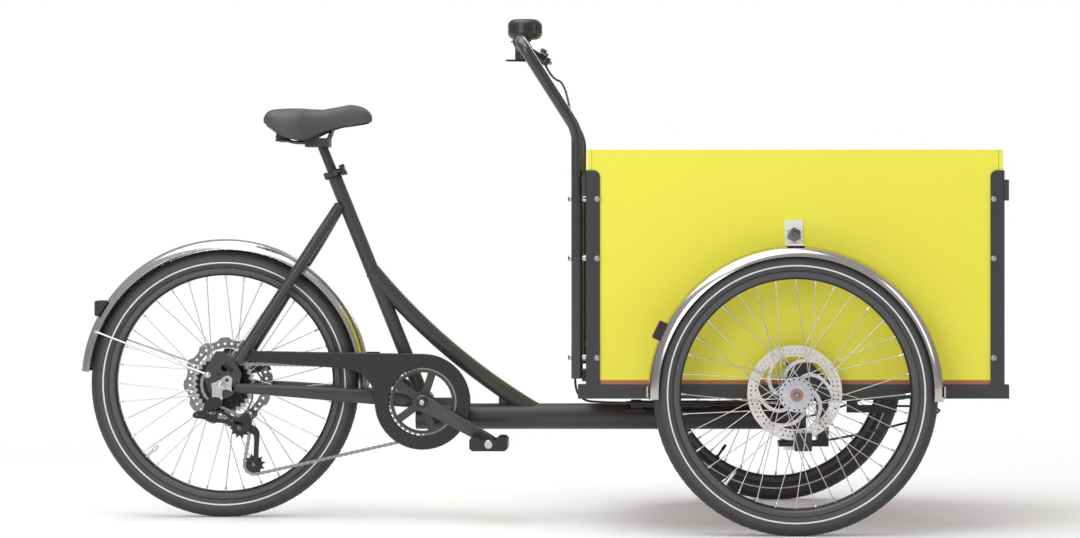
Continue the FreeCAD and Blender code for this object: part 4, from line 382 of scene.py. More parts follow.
dark_coat = coated("dark_coat", grey(50), 0.36)
crank_coat = coated("crank_coat", grey(80), 0.34, metallic=0.3)
black_plastic = coated("black_plastic", grey(38), 0.42, peel=0.2, peel_scale=1500)
derailleur_black = coated("derailleur_black", grey(34), 0.28, peel=0.05)
gloss_black = coated("gloss_black", grey(40), 0.34, clear=0.15, peel=0.02)
bolt_grey = metal("bolt_grey", grey(120), 0.3)
# Painted shade: near-black finish for plugs and sheets that stand for the dark inside holes and openings
hole_black = coated("hole_black", grey(20), 0.6)
rail_steel = metal("rail_steel", grey(90), 0.3)
seam_shade = coated("seam_shade", linear(176, 168, 44), 0.5)
cable_skin = coated("cable_skin", grey(34), 0.38)
saddle_skin = leatherette("saddle_skin")
zinc = metal("zinc_steel", grey(210), 0.22)
post_bolt = metal("post_bolt", grey(168), 0.26)
satin_steel = metal("satin_steel", grey(196), 0.34, grain=0.2)
red_lens = lens_plastic("red_lens", linear(196, 34, 28))
orange_lens = lens_plastic("orange_lens", linear(226, 76, 34))

# Darkest and lightest grey of each rotor, and how far it is bare metal
ROTOR_GREYS = {"rear": (120, 160, 1.0), "front_right": (222, 244, 0.5), "front_left": (222, 244, 0.5)}
FINISHES = {
    coated("frame_paint", grey(58), 0.36, peel=0.08): ["frame", "box_frame", "corner_posts"],
    coated("bar_gloss", grey(50), 0.22, clear=0.5): ["handlebar"],
    dark_coat: ["seat_clamp", "seat_lever", "seat_post", "saddle_rails", "derailleur_cage",
                "brake_lever_right", "brake_lever_left", "front_calipers", "rear_caliper",
                "bottom_bracket_cups"],
    crank_coat: ["crank_left", "crank_right"],
    coated("guard_plastic", grey(36), 0.3, peel=0.06, peel_scale=1300): ["chain_guard"],
    chainring_steel("dark_ring"): ["chainring"],
    laminate("box_yellow"): ["box_panels"],
    plywood("floor_wood"): ["floor_panel"],
    black_plastic: ["derailleur_link", "guide_pulley", "tension_pulley", "pedal_right", "pedal_left",
                    "control_clamps", "shift_lever", "saddle_base", "marker_lights", "rear_light",
                    "bell_lever", "cable_conduit"],
    gloss_black: ["bell"],
    ribbed_rubber("grip_rubber"): ["grips"],
    metal("polished_stainless", linear(206, 202, 199), 0.22, grain=0.02): ["rear_mudguard"],
    bracket_steel("guard_steel"): ["front_mudguards"],
    satin_steel: ["rear_axle"],
    axle_metal("axle_steel"): ["stub_axles"],
    zinc: ["kingpin", "box_bolts"],
    metal("chain_steel", linear(160, 156, 150), 0.3): ["chain"],
    cog_steel("cog_steel"): ["cassette"],
    metal("spoke_steel", grey(206), 0.22): [prefix + "_spokes" for prefix in WHEELS],
}
for prefix, (_, centre, _) in WHEELS.items():
    FINISHES[tyre_rubber(prefix + "_tyre_rubber", centre)] = [prefix + "_tyre"]
    FINISHES[rim_alloy(prefix + "_rim_alloy", centre)] = [prefix + "_rim"]
    FINISHES[turned_metal(prefix + "_rotor_steel", centre, *ROTOR_GREYS[prefix], 0.3)] = [prefix + "_rotor"]
    FINISHES[hub_alloy(prefix + "_hub_alloy", centre)] = [prefix + "_hub"]

for finish, names in FINISHES.items():
    for name in names:
        mesh = nodes[name].data
        mesh.materials.clear()
        mesh.materials.append(finish)


# Mesh helpers

SHARP_TURN = math.radians(40)
PLATE_BEVEL = 0.0003
SAME_POINT = 1e-7
LOOP_STEP = 0.0012
MOST_LOOP_STEPS = 6
# Bolt heads, round on a thin washer or with a sunk socket: shares of height and radius along their profiles
DOME = [(0, 1.25), (0.16, 1.25), (0.17, 1), (0.45, 0.96), (0.75, 0.74), (0.95, 0.36), (1, 0.06)]
SOCKET = [(0, 1), (0.8, 1), (1, 0.86), (1, 0.52), (0.3, 0.46), (0.25, 0.05)]


def placed(name, data):
    """A new object in the scene."""
    made = bpy.data.objects.new(name, data)
    bpy.context.scene.collection.objects.link(made)
    return made


def piece(name, shape, finish, body, slot):
    """A finished mesh or curve as a piece that rides on a body."""
    made = placed(name, shape)
    shape.materials.append(finish)
    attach(made, body)
    return made


def finished(build, name):
    """Mesh of a bmesh, with smooth faces and true edges at sharp turns."""
    mesh = bpy.data.meshes.new(name)
    bmesh.ops.recalc_face_normals(build, faces=build.faces)
    for edge in build.edges:
        edge.smooth = edge.calc_face_angle(math.pi) < SHARP_TURN
    for face in build.faces:
        face.smooth = True
    build.to_mesh(mesh)
    build.free()
    return mesh


def mesh_piece(name, build, finish, body, slot):
    return piece(name, finished(build, name), finish, body, slot)


def loop_edges(loops):
    """Edges of closed lines, as numbers of points taken in order."""
    edges = []
    for loop in loops:
        first, count = len(edges), len(loop)
        edges += [(first + i, first + (i + 1) % count) for i in range(count)]
    return edges


def loft(build, rings):
    """Adds a closed solid through rings of points."""
    rows = [[build.verts.new(point) for point in ring] for ring in rings]
    for low, high in zip(rows, rows[1:]):
        for i, j in loop_edges([low]):
            build.faces.new((low[i], low[j], high[j], high[i]))
    build.faces.new(reversed(rows[0]))
    build.faces.new(rows[-1])


def lathe(build, profile, start, along, sides, first=None):
    """Adds a turned solid: profile of place along the axis and radius, closed at both ends."""
    axis = along.normalized()
    first = first or axis.orthogonal().normalized()
    second = axis.cross(first)
    turns = [2 * math.pi * i / sides for i in range(sides)]
    ways = [first * math.cos(turn) + second * math.sin(turn) for turn in turns]
    loft(build, [[start + axis * place + way * radius for way in ways] for place, radius in profile])


def turned_piece(name, solids, finish, body, slot, sides, first=None):
    """A piece of turned solids, each with its profile, start and direction."""
    build = bmesh.new()
    for profile, start, along in solids:
        lathe(build, profile, start, along, sides, first)
    mesh_piece(name, build, finish, body, slot)


def head(shares, radius, height):
    """Profile of a bolt's head."""
    return [(height * place, radius * reach) for place, reach in shares]


def millimetres(pairs):
    return [(first / 1000, second / 1000) for first, second in pairs]


def slab(build, centre, across, up, out, sizes, bevel):
    """Block with rounded edges; sizes are its full lengths along the three directions."""
    made = bmesh.ops.create_cube(build, size=1.0)["verts"]
    for vert in made:
        place = vert.co.copy()
        vert.co = centre + across * place.x * sizes[0] + up * place.y * sizes[1] + out * place.z * sizes[2]
    edges = {edge for vert in made for edge in vert.link_edges}
    bmesh.ops.bevel(build, geom=list(edges), offset=bevel, segments=3, profile=0.5, affect="EDGES")


def ring(radius, centre=(0, 0), count=8):
    """Points of a round outline."""
    turns = [2 * math.pi * i / count for i in range(count)]
    return [(centre[0] + radius * math.cos(turn), centre[1] + radius * math.sin(turn)) for turn in turns]


def smooth_loop(points, keep_left):
    """Closed smooth line through points, turned so that the plate lies on its left or its right."""
    points = [Vector(point) for point in points]
    count = len(points)
    mean = sum((points[i] - points[i - 1]).length for i in range(count)) / count
    steps = max(1, min(MOST_LOOP_STEPS, int(mean / LOOP_STEP)))
    loop = []
    for i in range(count):
        a, b, c, d = (points[(i + k) % count] for k in (-1, 0, 1, 2))
        for t in (j / steps for j in range(steps)):
            loop.append((b * 2 + (c - a) * t + (a * 2 - b * 5 + c * 4 - d) * t ** 2
                         + (b * 3 - a - c * 3 + d) * t ** 3) / 2)
    area = sum(loop[i - 1].x * loop[i].y - loop[i].x * loop[i - 1].y for i in range(len(loop)))
    return loop if (area > 0) == keep_left else loop[::-1]


def plate_triangles(loops):
    """Triangles between the first line and the openings inside it, as numbers of points taken in order."""
    points, faces = [], []
    for loop in loops:
        numbers = range(len(points), len(points) + len(loop))
        faces.append(list(reversed(numbers) if faces else numbers))
        points += loop
    _, _, triangles, origins, _, owners = delaunay_2d_cdt(points, [], faces, 0, SAME_POINT)
    for triangle, owner in zip(triangles, owners):
        # A triangle in an opening lies in two of the faces
        if len(owner) == 1:
            yield [origins[i][0] for i in triangle]


def add_plate(build, outlines, thickness, centre):
    """Adds an upright plate with smooth outlines along X and Z: its edge first, then its openings."""
    loops = [smooth_loop(outline, index == 0) for index, outline in enumerate(outlines)]
    inset = []
    for loop in loops:
        ways = [(loop[(i + 1) % len(loop)] - loop[i - 1]).normalized() for i in range(len(loop))]
        inset.append([point + Vector((-way.y, way.x)) * PLATE_BEVEL for point, way in zip(loop, ways)])
    half = thickness / 2
    layers = []
    edge = half - PLATE_BEVEL
    for lines, height in ((inset, half), (loops, edge), (loops, -edge), (inset, -half)):
        points = [Vector((point.x, height, point.y)) for line in lines for point in line]
        layers.append([build.verts.new(centre + point) for point in points])
    for triangle in plate_triangles(inset):
        for layer in (layers[0], layers[-1]):
            build.faces.new([layer[i] for i in triangle])
    for i, j in loop_edges(loops):
        for upper, lower in zip(layers, layers[1:]):
            build.faces.new((upper[i], upper[j], lower[j], lower[i]))


def polar(radius, degrees):
    """Point in the plane of a wheel, by radius and angle."""
    turn = math.radians(degrees)
    return Vector((radius * math.cos(turn), 0, radius * math.sin(turn)))


def flat(places):
    """Points of an outline along X and Z."""
    return [(place.x, place.z) for place in places]


def strand(name, points, radius, finish, body, slot):
    """Round wire or cable on one smooth curve, with its route's points as control points."""
    shape = bpy.data.curves.new(name, "CURVE")
    shape.dimensions = "3D"
    shape.bevel_depth = radius
    shape.bevel_resolution = 4
    shape.resolution_u = 16
    shape.use_fill_caps = True
    spline = shape.splines.new("NURBS")
    spline.points.add(len(points) - 1)
    for control, point in zip(spline.points, points):
        control.co = (*point, 1.0)
    spline.order_u = 3
    spline.use_endpoint_u = True
    return piece(name, shape, finish, body, slot)


# Brake cables: from the right brake lever to the bracket under the box, and from there to each front brake

CABLE_RADIUS = 0.0025
CABLES = {
    "main": (1.53, [
        (0.0177, -0.096, 1.0274), (0.0158, -0.0629, 1.0266), (0.0398, -0.067, 0.9825),
        (0.0675, -0.1045, 0.9724), (0.0901, -0.2855, 0.861), (0.0901, -0.2855, 0.78),
        (0.0901, -0.2855, 0.3442), (0.098, -0.2855, 0.2802), (0.1611, -0.2855, 0.275),
        (0.3006, -0.2855, 0.275), (0.5616, -0.1, 0.269), (0.6921, -0.1, 0.269),
    ]),
    "right": (0.52, [
        (0.8031, -0.1, 0.2555), (0.8831, -0.1, 0.2555), (0.8831, -0.34, 0.2555),
        (0.6376, -0.34, 0.196), (0.5976, -0.34, 0.196),
    ]),
    "left": (0.65, [
        (0.8031, -0.1, 0.2715), (0.8431, -0.1, 0.2715), (0.8431, 0.34, 0.2715),
        (0.6376, 0.34, 0.196), (0.5976, 0.34, 0.196),
    ]),
}
for name, (length, points) in CABLES.items():
    cable = strand("brake_cable_" + name, points, CABLE_RADIUS, cable_skin, "carrier", "black_plastic")
    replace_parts(cable, "brake_cables")
    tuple(points[0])


# Saddle

SADDLE_TAIL = -0.6084
SADDLE_LENGTH = 0.24
SADDLE_HALF_WIDTH = 0.082
SADDLE_TOP = 0.929
SADDLE_DEPTH = 0.082
# Along the saddle from tail to nose: place, half width, top and bottom, as shares of the lengths above
SADDLE_STATIONS = [
    (0, 0.6, 0.33, 0.56), (0.02, 0.74, 0.22, 0.61), (0.06, 0.89, 0.145, 0.68), (0.18, 1, 0.118, 0.93),
    (0.33, 0.95, 0.118, 1.04), (0.43, 0.74, 0.15, 1), (0.56, 0.52, 0.135, 0.82), (0.7, 0.4, 0.06, 0.67),
    (0.8, 0.34, 0, 0.63), (0.9, 0.29, 0.055, 0.58), (0.96, 0.25, 0.15, 0.54), (1, 0.17, 0.29, 0.53),
]
# Half of a section, from the middle of the top to the foot of the skirt: shares of half width and height
SADDLE_SECTION = [
    (0, 1), (0.3, 0.99), (0.56, 0.95), (0.78, 0.86), (0.92, 0.72), (0.99, 0.54), (1, 0.36), (0.99, 0.18),
    (0.96, 0.04), (0.92, 0),
]
# Its hollow underside, from the lip to the middle: shares of the width inside the lip and of the height
SADDLE_UNDERSIDE = [(1, 0.02), (0.94, 0.14), (0.6, 0.3), (0, 0.3)]
SADDLE_LIP = 0.01
LEAST_INSIDE = 0.45
SADDLE_STEPS = 60
SADDLE_SHRINK = 0.0012
SWELL_CAP = 0.004
SWELL_FRAMES = 20
SWELL_PRESSURE = 4.0
VOXEL = 0.004
SOFTEN_TURNS = 5
# Underside of the saddle, whose points count as held where they face down more than this
FACES_DOWN = -0.25
# Tray inside the pad: shares of the width inside the lip and of the height
TRAY_SECTION = [(0.97, 0.06), (0.9, 0.14), (0.57, 0.27), (0.0, 0.27)]
TRAY_SHEET = 0.003
# Steps of the saddle that the tray stays clear of at each end
TRAY_SET_IN = 2
RAIL_REAR_X = -0.5694
RAIL_REAR_Y = 0.034
RAIL_RADIUS = 0.0035
RAIL_POINTS = [
    (RAIL_REAR_X, RAIL_REAR_Y, 0.856), (-0.556, 0.029, 0.843), (-0.525, 0.022, 0.842), (-0.475, 0.022, 0.842),
    (-0.466, 0.019, 0.846), (-0.455, 0.012, 0.882),
]
BUMPER_LOW = 0.844
BUMPER_PROFILE = millimetres([
    (0, 11.5), (1, 13.5), (4, 13.5), (5, 11.5), (7, 11.5), (8, 13.5), (11, 13.5), (12, 11.8), (22, 11.8),
])


def along_stations(share, column):
    """Smooth value between the saddle's stations."""
    rows = SADDLE_STATIONS
    last = len(rows) - 2
    index = min(last, max(i for i in range(last + 1) if rows[i][0] <= share))
    low, high = rows[index], rows[index + 1]
    before, after = rows[max(0, index - 1)], rows[min(len(rows) - 1, index + 2)]
    span = high[0] - low[0]
    leave = (high[column] - before[column]) / (high[0] - before[0]) * span
    arrive = (after[column] - low[column]) / (after[0] - low[0]) * span
    t = (share - low[0]) / span
    return ((2 * t ** 3 - 3 * t ** 2 + 1) * low[column] + (t ** 3 - 2 * t ** 2 + t) * leave
            + (3 * t ** 2 - 2 * t ** 3) * high[column] + (t ** 3 - t ** 2) * arrive)


def saddle_point(share, wide_share, high_share):
    """Point on the saddle's skin: place along it, across it and up its section."""
    half_width = along_stations(share, 1) * SADDLE_HALF_WIDTH - SADDLE_SHRINK
    top = SADDLE_TOP - along_stations(share, 2) * SADDLE_DEPTH - SADDLE_SHRINK
    bottom = SADDLE_TOP - along_stations(share, 3) * SADDLE_DEPTH + SADDLE_SHRINK
    x = SADDLE_TAIL + share * SADDLE_LENGTH
    return Vector((x, wide_share * half_width, bottom + high_share * (top - bottom)))


def inside_lip(share, section):
    """Half of a hollow section, set inside a lip of one thickness."""
    inside = max(LEAST_INSIDE, 1 - SADDLE_LIP / (along_stations(share, 1) * SADDLE_HALF_WIDTH))
    return [(inside * wide, high) for wide, high in section]


def saddle_form():
    """The skin's starting shape, a little smaller than the padded saddle."""
    rings = []
    for step in range(SADDLE_STEPS + 1):
        share = step / SADDLE_STEPS
        half = SADDLE_SECTION + inside_lip(share, SADDLE_UNDERSIDE)
        section = half + [(-wide, high) for wide, high in reversed(half[1:-1])]
        rings.append([saddle_point(share, *point) for point in section])
    build = bmesh.new()
    loft(build, rings)
    return finished(build, "saddle_form")


def applied(made):
    """The object's mesh with its modifiers applied."""
    bpy.context.view_layer.update()
    shaped = bpy.data.meshes.new_from_object(made.evaluated_get(bpy.context.evaluated_depsgraph_get()))
    made.modifiers.clear()
    made.data = shaped
    return shaped


def swell(made):
    """A short cloth run with pressure inside; the hollow underside is held, and no point moves far."""
    held = made.vertex_groups.new(name="held")
    held.add([vert.index for vert in made.data.vertices if vert.normal.z < FACES_DOWN], 1.0, "REPLACE")
    starts = [vert.co.copy() for vert in made.data.vertices]
    cloth = made.modifiers.new("swell", "CLOTH")
    cloth.settings.use_pressure = True
    cloth.settings.uniform_pressure_force = SWELL_PRESSURE
    cloth.settings.vertex_group_mass = "held"
    cloth.settings.effector_weights.gravity = 0
    cloth.point_cache.frame_end = SWELL_FRAMES
    for step in range(1, SWELL_FRAMES + 1):
        bpy.context.scene.frame_set(step)
    shaped = applied(made)
    bpy.context.scene.frame_set(1)
    for vert, start in zip(shaped.vertices, starts):
        move = vert.co - start
        if move.length > SWELL_CAP:
            vert.co = start + move * (SWELL_CAP / move.length)


def saddle_pad():
    """The padded cover, swelled by a short cloth run."""
    pad = piece("saddle_pad", saddle_form(), saddle_skin, "seat", "saddle_skin")
    even = pad.modifiers.new("even", "REMESH")
    even.mode = "VOXEL"
    even.voxel_size = VOXEL
    even.use_smooth_shade = True
    soften = pad.modifiers.new("soften", "SMOOTH")
    soften.iterations = SOFTEN_TURNS
    applied(pad)
    swell(pad)
    finer = pad.modifiers.new("finer", "SUBSURF")
    finer.levels = 1
    finer.render_levels = 1
    shaped = applied(pad)
    shaped.name = "saddle_pad"
    shaped.materials.clear()
    shaped.materials.append(saddle_skin)
    shaped.polygons.foreach_set("use_smooth", [True] * len(shaped.polygons))
    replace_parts(pad, "saddle_cover")


def saddle_tray():
    """Moulded tray inside the hollow of the pad, with a ribbed bumper at each side of its tail."""
    rings = []
    for step in range(TRAY_SET_IN, SADDLE_STEPS + 1 - TRAY_SET_IN):
        share = step / SADDLE_STEPS
        half = inside_lip(share, TRAY_SECTION)
        whole = [(-wide, high) for wide, high in half] + half[-2::-1]
        top = [saddle_point(share, *point) for point in whole]
        rings.append(top + [point - Z * TRAY_SHEET for point in reversed(top)])
    build = bmesh.new()
    loft(build, rings)
    for side in SIDES.values():
        lathe(build, BUMPER_PROFILE, Vector((RAIL_REAR_X, side * RAIL_REAR_Y, BUMPER_LOW)), Z, sides=28)
    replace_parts(mesh_piece("saddle_tray", build, black_plastic, "seat", "black_plastic"), "saddle_base")


def saddle_rails():
    """Two bent rails from the bumpers through the post's clamp up into the nose."""
    for name, side in SIDES.items():
        points = [(x, side * y, z) for x, y, z in RAIL_POINTS]
        rail = strand("saddle_rail_" + name, points, RAIL_RADIUS, rail_steel, "seat", "dark_steel")
        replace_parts(rail, "saddle_rails")


saddle_pad()
saddle_tray()
saddle_rails()


# Wheel details: profiles of turned pieces are place along the axis and radius

NIPPLE_SEAT = RIM_INNER_RADIUS + 0.0005
NIPPLE = millimetres([(0, 2.73), (2, 2.73), (3, 2.1), (8.8, 2.1), (11, 1.47)])
SPOKE_HEAD = head(DOME, 0.0017, 0.0016)
VALVE = millimetres([(0, 5.8), (3, 5.8), (3.2, 3), (19.8, 3), (20.16, 3.9), (32.4, 3.9), (36, 2.1)])
VALVE_SEAT = RIM_INNER_RADIUS + 0.0003
# Angle, finish and slot of each wheel's valve
VALVES = {
    "front_right": (-128, zinc, "bright_steel"),
    "front_left": (-125, black_plastic, "black_plastic"),
    "rear": (-137, zinc, "bright_steel"),
}
# Dark plug of painted shade at a hub's spoke hole: place along the axis and radius
HUB_HOLE = millimetres([(-1, 1.9), (0.6, 1.9), (0.8, 1.4)])
HUB_HOLE_RING = 0.0325
FRONT_FLANGE_FACE = 0.0305
TREAD_ROWS_DEG = (-46, -23, 0, 23, 46)
TREAD_BLOCKS = 90
TREAD_FILL = 0.78
# Low and high faces of a tread block: height above the tyre and share of its size
TREAD_FACES = ((-0.001, 1), (0.0006, 0.86))
TREAD_SKEW = 0.18
TREAD_HALF_WIDTH = 0.0032
TREAD_MIDDLE_HALF_WIDTH = 0.0036
BLOCK_CORNERS = ((-1, -1), (1, -1), (1, 1), (-1, 1))
ROTOR_RADIUS = 0.1012
ROTOR_BORE = 0.017
# Steps in the edge of the rear rotor, and the swept arms of all three
ROTOR_STEPS = 12
ROTOR_STEP = 0.0055
STEP_SLANT = 0.3
ROTOR_ARMS = 6
ARM_STEPS = 5
ARM_ROOT = 0.03
ARM_TIP = 0.0775
ARM_SWEEP_DEG = 64
ARM_CURVE = 1.5
ARM_START_DEG = 127
# Half width of an arm, and rows of holes, for the front (False) and the rear; a row has its radius, the
# radius of a hole and their count, and at the front some holes are left out at even gaps
ARM_HALF = {False: 0.004, True: 0.0024}
ROTOR_HOLES = {False: [(0.0835, 0.0019, 54), (0.093, 0.0019, 60)], True: [(0.087, 0.0032, 36)]}
HOLE_GAP = 9


def nipples(prefix):
    """Spoke nipples at the rim and spoke heads at the hub, each along its own spoke."""
    body, centre, side = WHEELS[prefix]
    solids = []
    for index, (place, hole_radius) in enumerate(FLANGES["rear" if prefix == "rear" else "front"]):
        for i in range(SPOKES_PER_FLANGE):
            lean = 1 if i % 2 else -1
            hub_deg = (2 * i + index) * 180 / SPOKES_PER_FLANGE
            hub_end = centre + polar(hole_radius, hub_deg) + Y * side * (place + lean * SPOKE_LAY)
            rim_end = centre + polar(NIPPLE_SEAT, hub_deg + lean * SPOKE_CROSS_DEG)
            solids.append((NIPPLE, rim_end, hub_end - rim_end))
            solids.append((SPOKE_HEAD, hub_end, Y if hub_end.y > centre.y else -Y))
    turned_piece(prefix + "_nipples", solids, zinc, body, "bright_steel", sides=8)


def tread(prefix):
    """Rows of low skewed blocks round the tyre."""
    body, centre = WHEELS[prefix][:2]
    build = bmesh.new()
    for row, lean_deg in enumerate(TREAD_ROWS_DEG):
        lean = math.radians(lean_deg)
        half_wide = TREAD_HALF_WIDTH if lean_deg else TREAD_MIDDLE_HALF_WIDTH
        half_long = math.pi * (TYRE_MIDDLE + TYRE_ROUND * math.cos(lean)) / TREAD_BLOCKS * TREAD_FILL
        skew = TREAD_SKEW if lean_deg >= 0 else -TREAD_SKEW
        for i in range(TREAD_BLOCKS):
            out = polar(1, 360 * (i + 0.5 * (row % 2)) / TREAD_BLOCKS)
            along = out.cross(Y)
            normal = out * math.cos(lean) + Y * math.sin(lean)
            cross = Y * math.cos(lean) - out * math.sin(lean)
            foot = centre + out * TYRE_MIDDLE + normal * TYRE_ROUND
            loft(build, [[foot + normal * height + along * (u + v * skew) * half_long * scale
                          + cross * v * half_wide * scale for u, v in BLOCK_CORNERS]
                         for height, scale in TREAD_FACES])
    finish = nodes[prefix + "_tyre"].data.materials[0]
    mesh_piece(prefix + "_tread", build, finish, body, "tyre_rubber")


def hub_hole_shades(prefix):
    """Short dark plugs of painted shade at the spoke holes in the outer face of a front hub."""
    body, centre, side = WHEELS[prefix]
    face = centre + Y * side * FRONT_FLANGE_FACE
    turns = [i * 360 / SPOKES_PER_FLANGE for i in range(SPOKES_PER_FLANGE)]
    # Painted shade: each spoke hole gets a short dark plug standing out of the face
    solids = [(HUB_HOLE, face + polar(HUB_HOLE_RING, turn), Y * side) for turn in turns]
    turned_piece(prefix + "_hub_hole_shades", solids, hole_black, body, "dark_steel", sides=10)


def arm_place(turn_deg, half_width, share):
    """Radius and angle on one edge of a rotor's swept arm, which keeps its width out to the ring."""
    span = ARM_TIP - ARM_ROOT
    radius = ARM_ROOT + share * span
    slope = radius * math.radians(ARM_SWEEP_DEG) * ARM_CURVE * share ** (ARM_CURVE - 1) / span
    half_deg = math.degrees(half_width * math.hypot(1, slope) / radius)
    return radius, turn_deg - ARM_SWEEP_DEG * share ** ARM_CURVE + half_deg


def rotor_opening(turn_deg, half_arm):
    """Outline of the opening between two arms: out along one, round the ring, and back along the next."""
    shares = [i / ARM_STEPS for i in range(ARM_STEPS + 1)]
    out = [arm_place(turn_deg, half_arm, share) for share in shares]
    back = [arm_place(turn_deg + 360 / ROTOR_ARMS, -half_arm, share) for share in reversed(shares)]
    start, span = out[-1][1], back[0][1] - out[-1][1]
    across = [(ARM_TIP, start + span * share) for share in shares[1:-1]]
    return flat(polar(*place) for place in out + across + back)


def rotor(prefix):
    """Brake rotor with swept arms and rows of holes; the rear one has a stepped edge."""
    body, centre = WHEELS[prefix][:2]
    low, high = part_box(prefix + "_rotor")
    rear = prefix == "rear"
    outlines = [ring(ROTOR_RADIUS, count=32), ring(ROTOR_BORE, count=12)]
    if rear:
        count = 4 * ROTOR_STEPS
        edge = [(ROTOR_RADIUS - (ROTOR_STEP if i % 4 > 1 else 0), (i + STEP_SLANT * (i % 2)) * 360 / count)
                for i in range(count)]
        outlines[0] = flat(polar(*place) for place in edge)
    for i in range(ROTOR_ARMS):
        outlines.append(rotor_opening(ARM_START_DEG + i * 360 / ROTOR_ARMS, ARM_HALF[rear]))
    for reach, hole, count in ROTOR_HOLES[rear]:
        middles = flat(polar(reach, (i + 0.5) * 360 / count) for i in range(count) if rear or i % HOLE_GAP)
        outlines += [ring(hole, middle, 10) for middle in middles]
    build = bmesh.new()
    add_plate(build, outlines, high.y - low.y, Vector((centre.x, (low.y + high.y) / 2, centre.z)))
    finish = nodes[prefix + "_rotor"].data.materials[0]
    disc = mesh_piece(prefix + "_disc", build, finish, body, "bright_steel")
    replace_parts(disc, prefix + "_rotor")


for prefix in WHEELS:
    nipples(prefix)
    tread(prefix)
    rotor(prefix)
for prefix in ("front_right", "front_left"):
    hub_hole_shades(prefix)
for prefix, (degrees, finish, slot) in VALVES.items():
    body, centre = WHEELS[prefix][:2]
    stem = (VALVE, centre + polar(VALVE_SEAT, degrees), -polar(1, degrees))
    turned_piece(prefix + "_valve", [stem], finish, body, slot, sides=14)


# Fasteners and caps

BOX_BOLT = head(DOME, 0.0052, 0.0034)
BOX_BOLT_X = (0.140583, 0.988583)
BOX_BOLT_FACE = 0.327
BOX_BOLT_Z = (0.3736, 0.58644, 0.7136)
BAR_BOLT_X = 0.081083
BAR_BOLT_Y = 0.306
# Joints of the box's panels: distance from the ends, and width, shortfall, depth and bevel
SEAM_INSET = 0.0095
SEAM_WIDTH = 0.0012
SEAM_SHORT = 0.001
SEAM_DEPTH = 0.0005
SEAM_BEVEL = 0.0001
CRANK_FACE = 0.08
CRANK_BOLT = head(SOCKET, 0.0058, 0.0042)
CRANK_COLLAR = millimetres([(-2, 13.8), (1.2, 13.8), (2.2, 12.6), (2.2, 7.5), (0.4, 6.8)])
# Raised panel of a crank: middle and length as shares of the arm, then width, depth and bevel
CRANK_PANEL = (0.56, 0.56, 0.017, 0.003, 0.0011)
PEDAL_FACE = 0.174
PEDAL_CAP = millimetres([(-1, 9), (1.6, 9), (2.6, 8), (2.6, 4.5), (1.8, 4), (1.8, 0.4)])
# Studs of a pedal: count and spacing along its bars, and places of the bars
STUD = millimetres([(0, 3), (3, 2.6), (3.6, 1.6)])
STUDS = 5
STUD_STEP = 0.0165
STUD_X = 0.0385
STUD_Z = 0.0085
AXLE_SOCKET = head(SOCKET, 0.0064, 0.0016)
AXLE_SOCKET_FACE = 0.4367
AXLE_DOME = head(DOME, 0.0068, 0.005)
AXLE_DOME_FACE = 0.09
EYELET_DOME = head(DOME, 0.0056, 0.0034)
EYELET = REAR_AXLE + Vector((-0.029, 0, 0.023))
EYELET_FACE = 0.0775
GUARD_BOLT = millimetres([(-8, 16), (0.4, 16), (1.6, 14), (1.8, 4), (1.2, 0.4)])
GUARD_BOLT_FACE = 0.3325
GUARD_BOLT_Z = GUARD_CROWN + 0.022


def box_domes():
    """Round heads on the bolts of the box's corner posts and of the handlebar."""
    posts, bars = [], []
    for z in BOX_BOLT_Z:
        for side in SIDES.values():
            posts += [(BOX_BOLT, Vector((x, side * BOX_BOLT_FACE, z)), Y * side) for x in BOX_BOLT_X]
            bars.append((BOX_BOLT, Vector((BAR_BOLT_X, side * BAR_BOLT_Y, z)), -X))
    turned_piece("box_bolt_domes", posts, post_bolt, "carrier", "bright_steel", sides=20)
    turned_piece("bar_bolt_domes", bars, dark_coat, "carrier", "dark_steel", sides=20)


def panel_seams():
    """Fine joints where the ends of the box's cross panels meet its side panels."""
    build = bmesh.new()
    low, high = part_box("box_panels")
    sizes = (SEAM_WIDTH, high.z - low.z - SEAM_SHORT, SEAM_DEPTH)
    for side in SIDES.values():
        for x in (low.x + SEAM_INSET, high.x - SEAM_INSET):
            slab(build, Vector((x, side * high.y, (low.z + high.z) / 2)), X, Z, Y * side, sizes, SEAM_BEVEL)
    mesh_piece("panel_seams", build, seam_shade, "carrier", "box_laminate")


def crank_caps():
    """Bolt and dark collar on each crank, a raised panel along its arm, and each pedal's bearing cap."""
    panels = bmesh.new()
    bolts, collars = [], []
    for name, side in SIDES.items():
        out = Y * side
        face = BRACKET + out * CRANK_FACE
        bolts.append((CRANK_BOLT, face, out))
        collars.append((CRANK_COLLAR, face, out))
        pedal = spot(f"pedal_{name}_spin")
        arm = Vector((pedal.x - BRACKET.x, 0, pedal.z - BRACKET.z))
        along = arm.normalized()
        middle, length, width, depth, bevel = CRANK_PANEL
        sizes = (arm.length * length, width, depth)
        slab(panels, face + arm * middle, along, out.cross(along), out, sizes, bevel)
        cap = (PEDAL_CAP, Vector((pedal.x, side * PEDAL_FACE, pedal.z)), out)
        turned_piece(f"pedal_cap_{name}", [cap], zinc, f"pedal_{name}", "bright_steel", sides=28)
    turned_piece("crank_bolts", bolts, zinc, "crank", "bright_steel", sides=24)
    turned_piece("crank_collars", collars, gloss_black, "crank", "black_paint", sides=36)
    mesh_piece("crank_panels", panels, crank_coat, "crank", "black_paint")


def pedal_studs(name):
    """Grip studs along the front and back bars of a pedal, above and below."""
    pedal = spot(f"pedal_{name}_spin")
    studs = [(STUD, pedal + Vector((end * STUD_X, (i - STUDS // 2) * STUD_STEP, way * STUD_Z)), Z * way)
             for end in (-1, 1) for way in (-1, 1) for i in range(STUDS)]
    turned_piece(f"pedal_studs_{name}", studs, dark_coat, f"pedal_{name}", "black_plastic", sides=10)


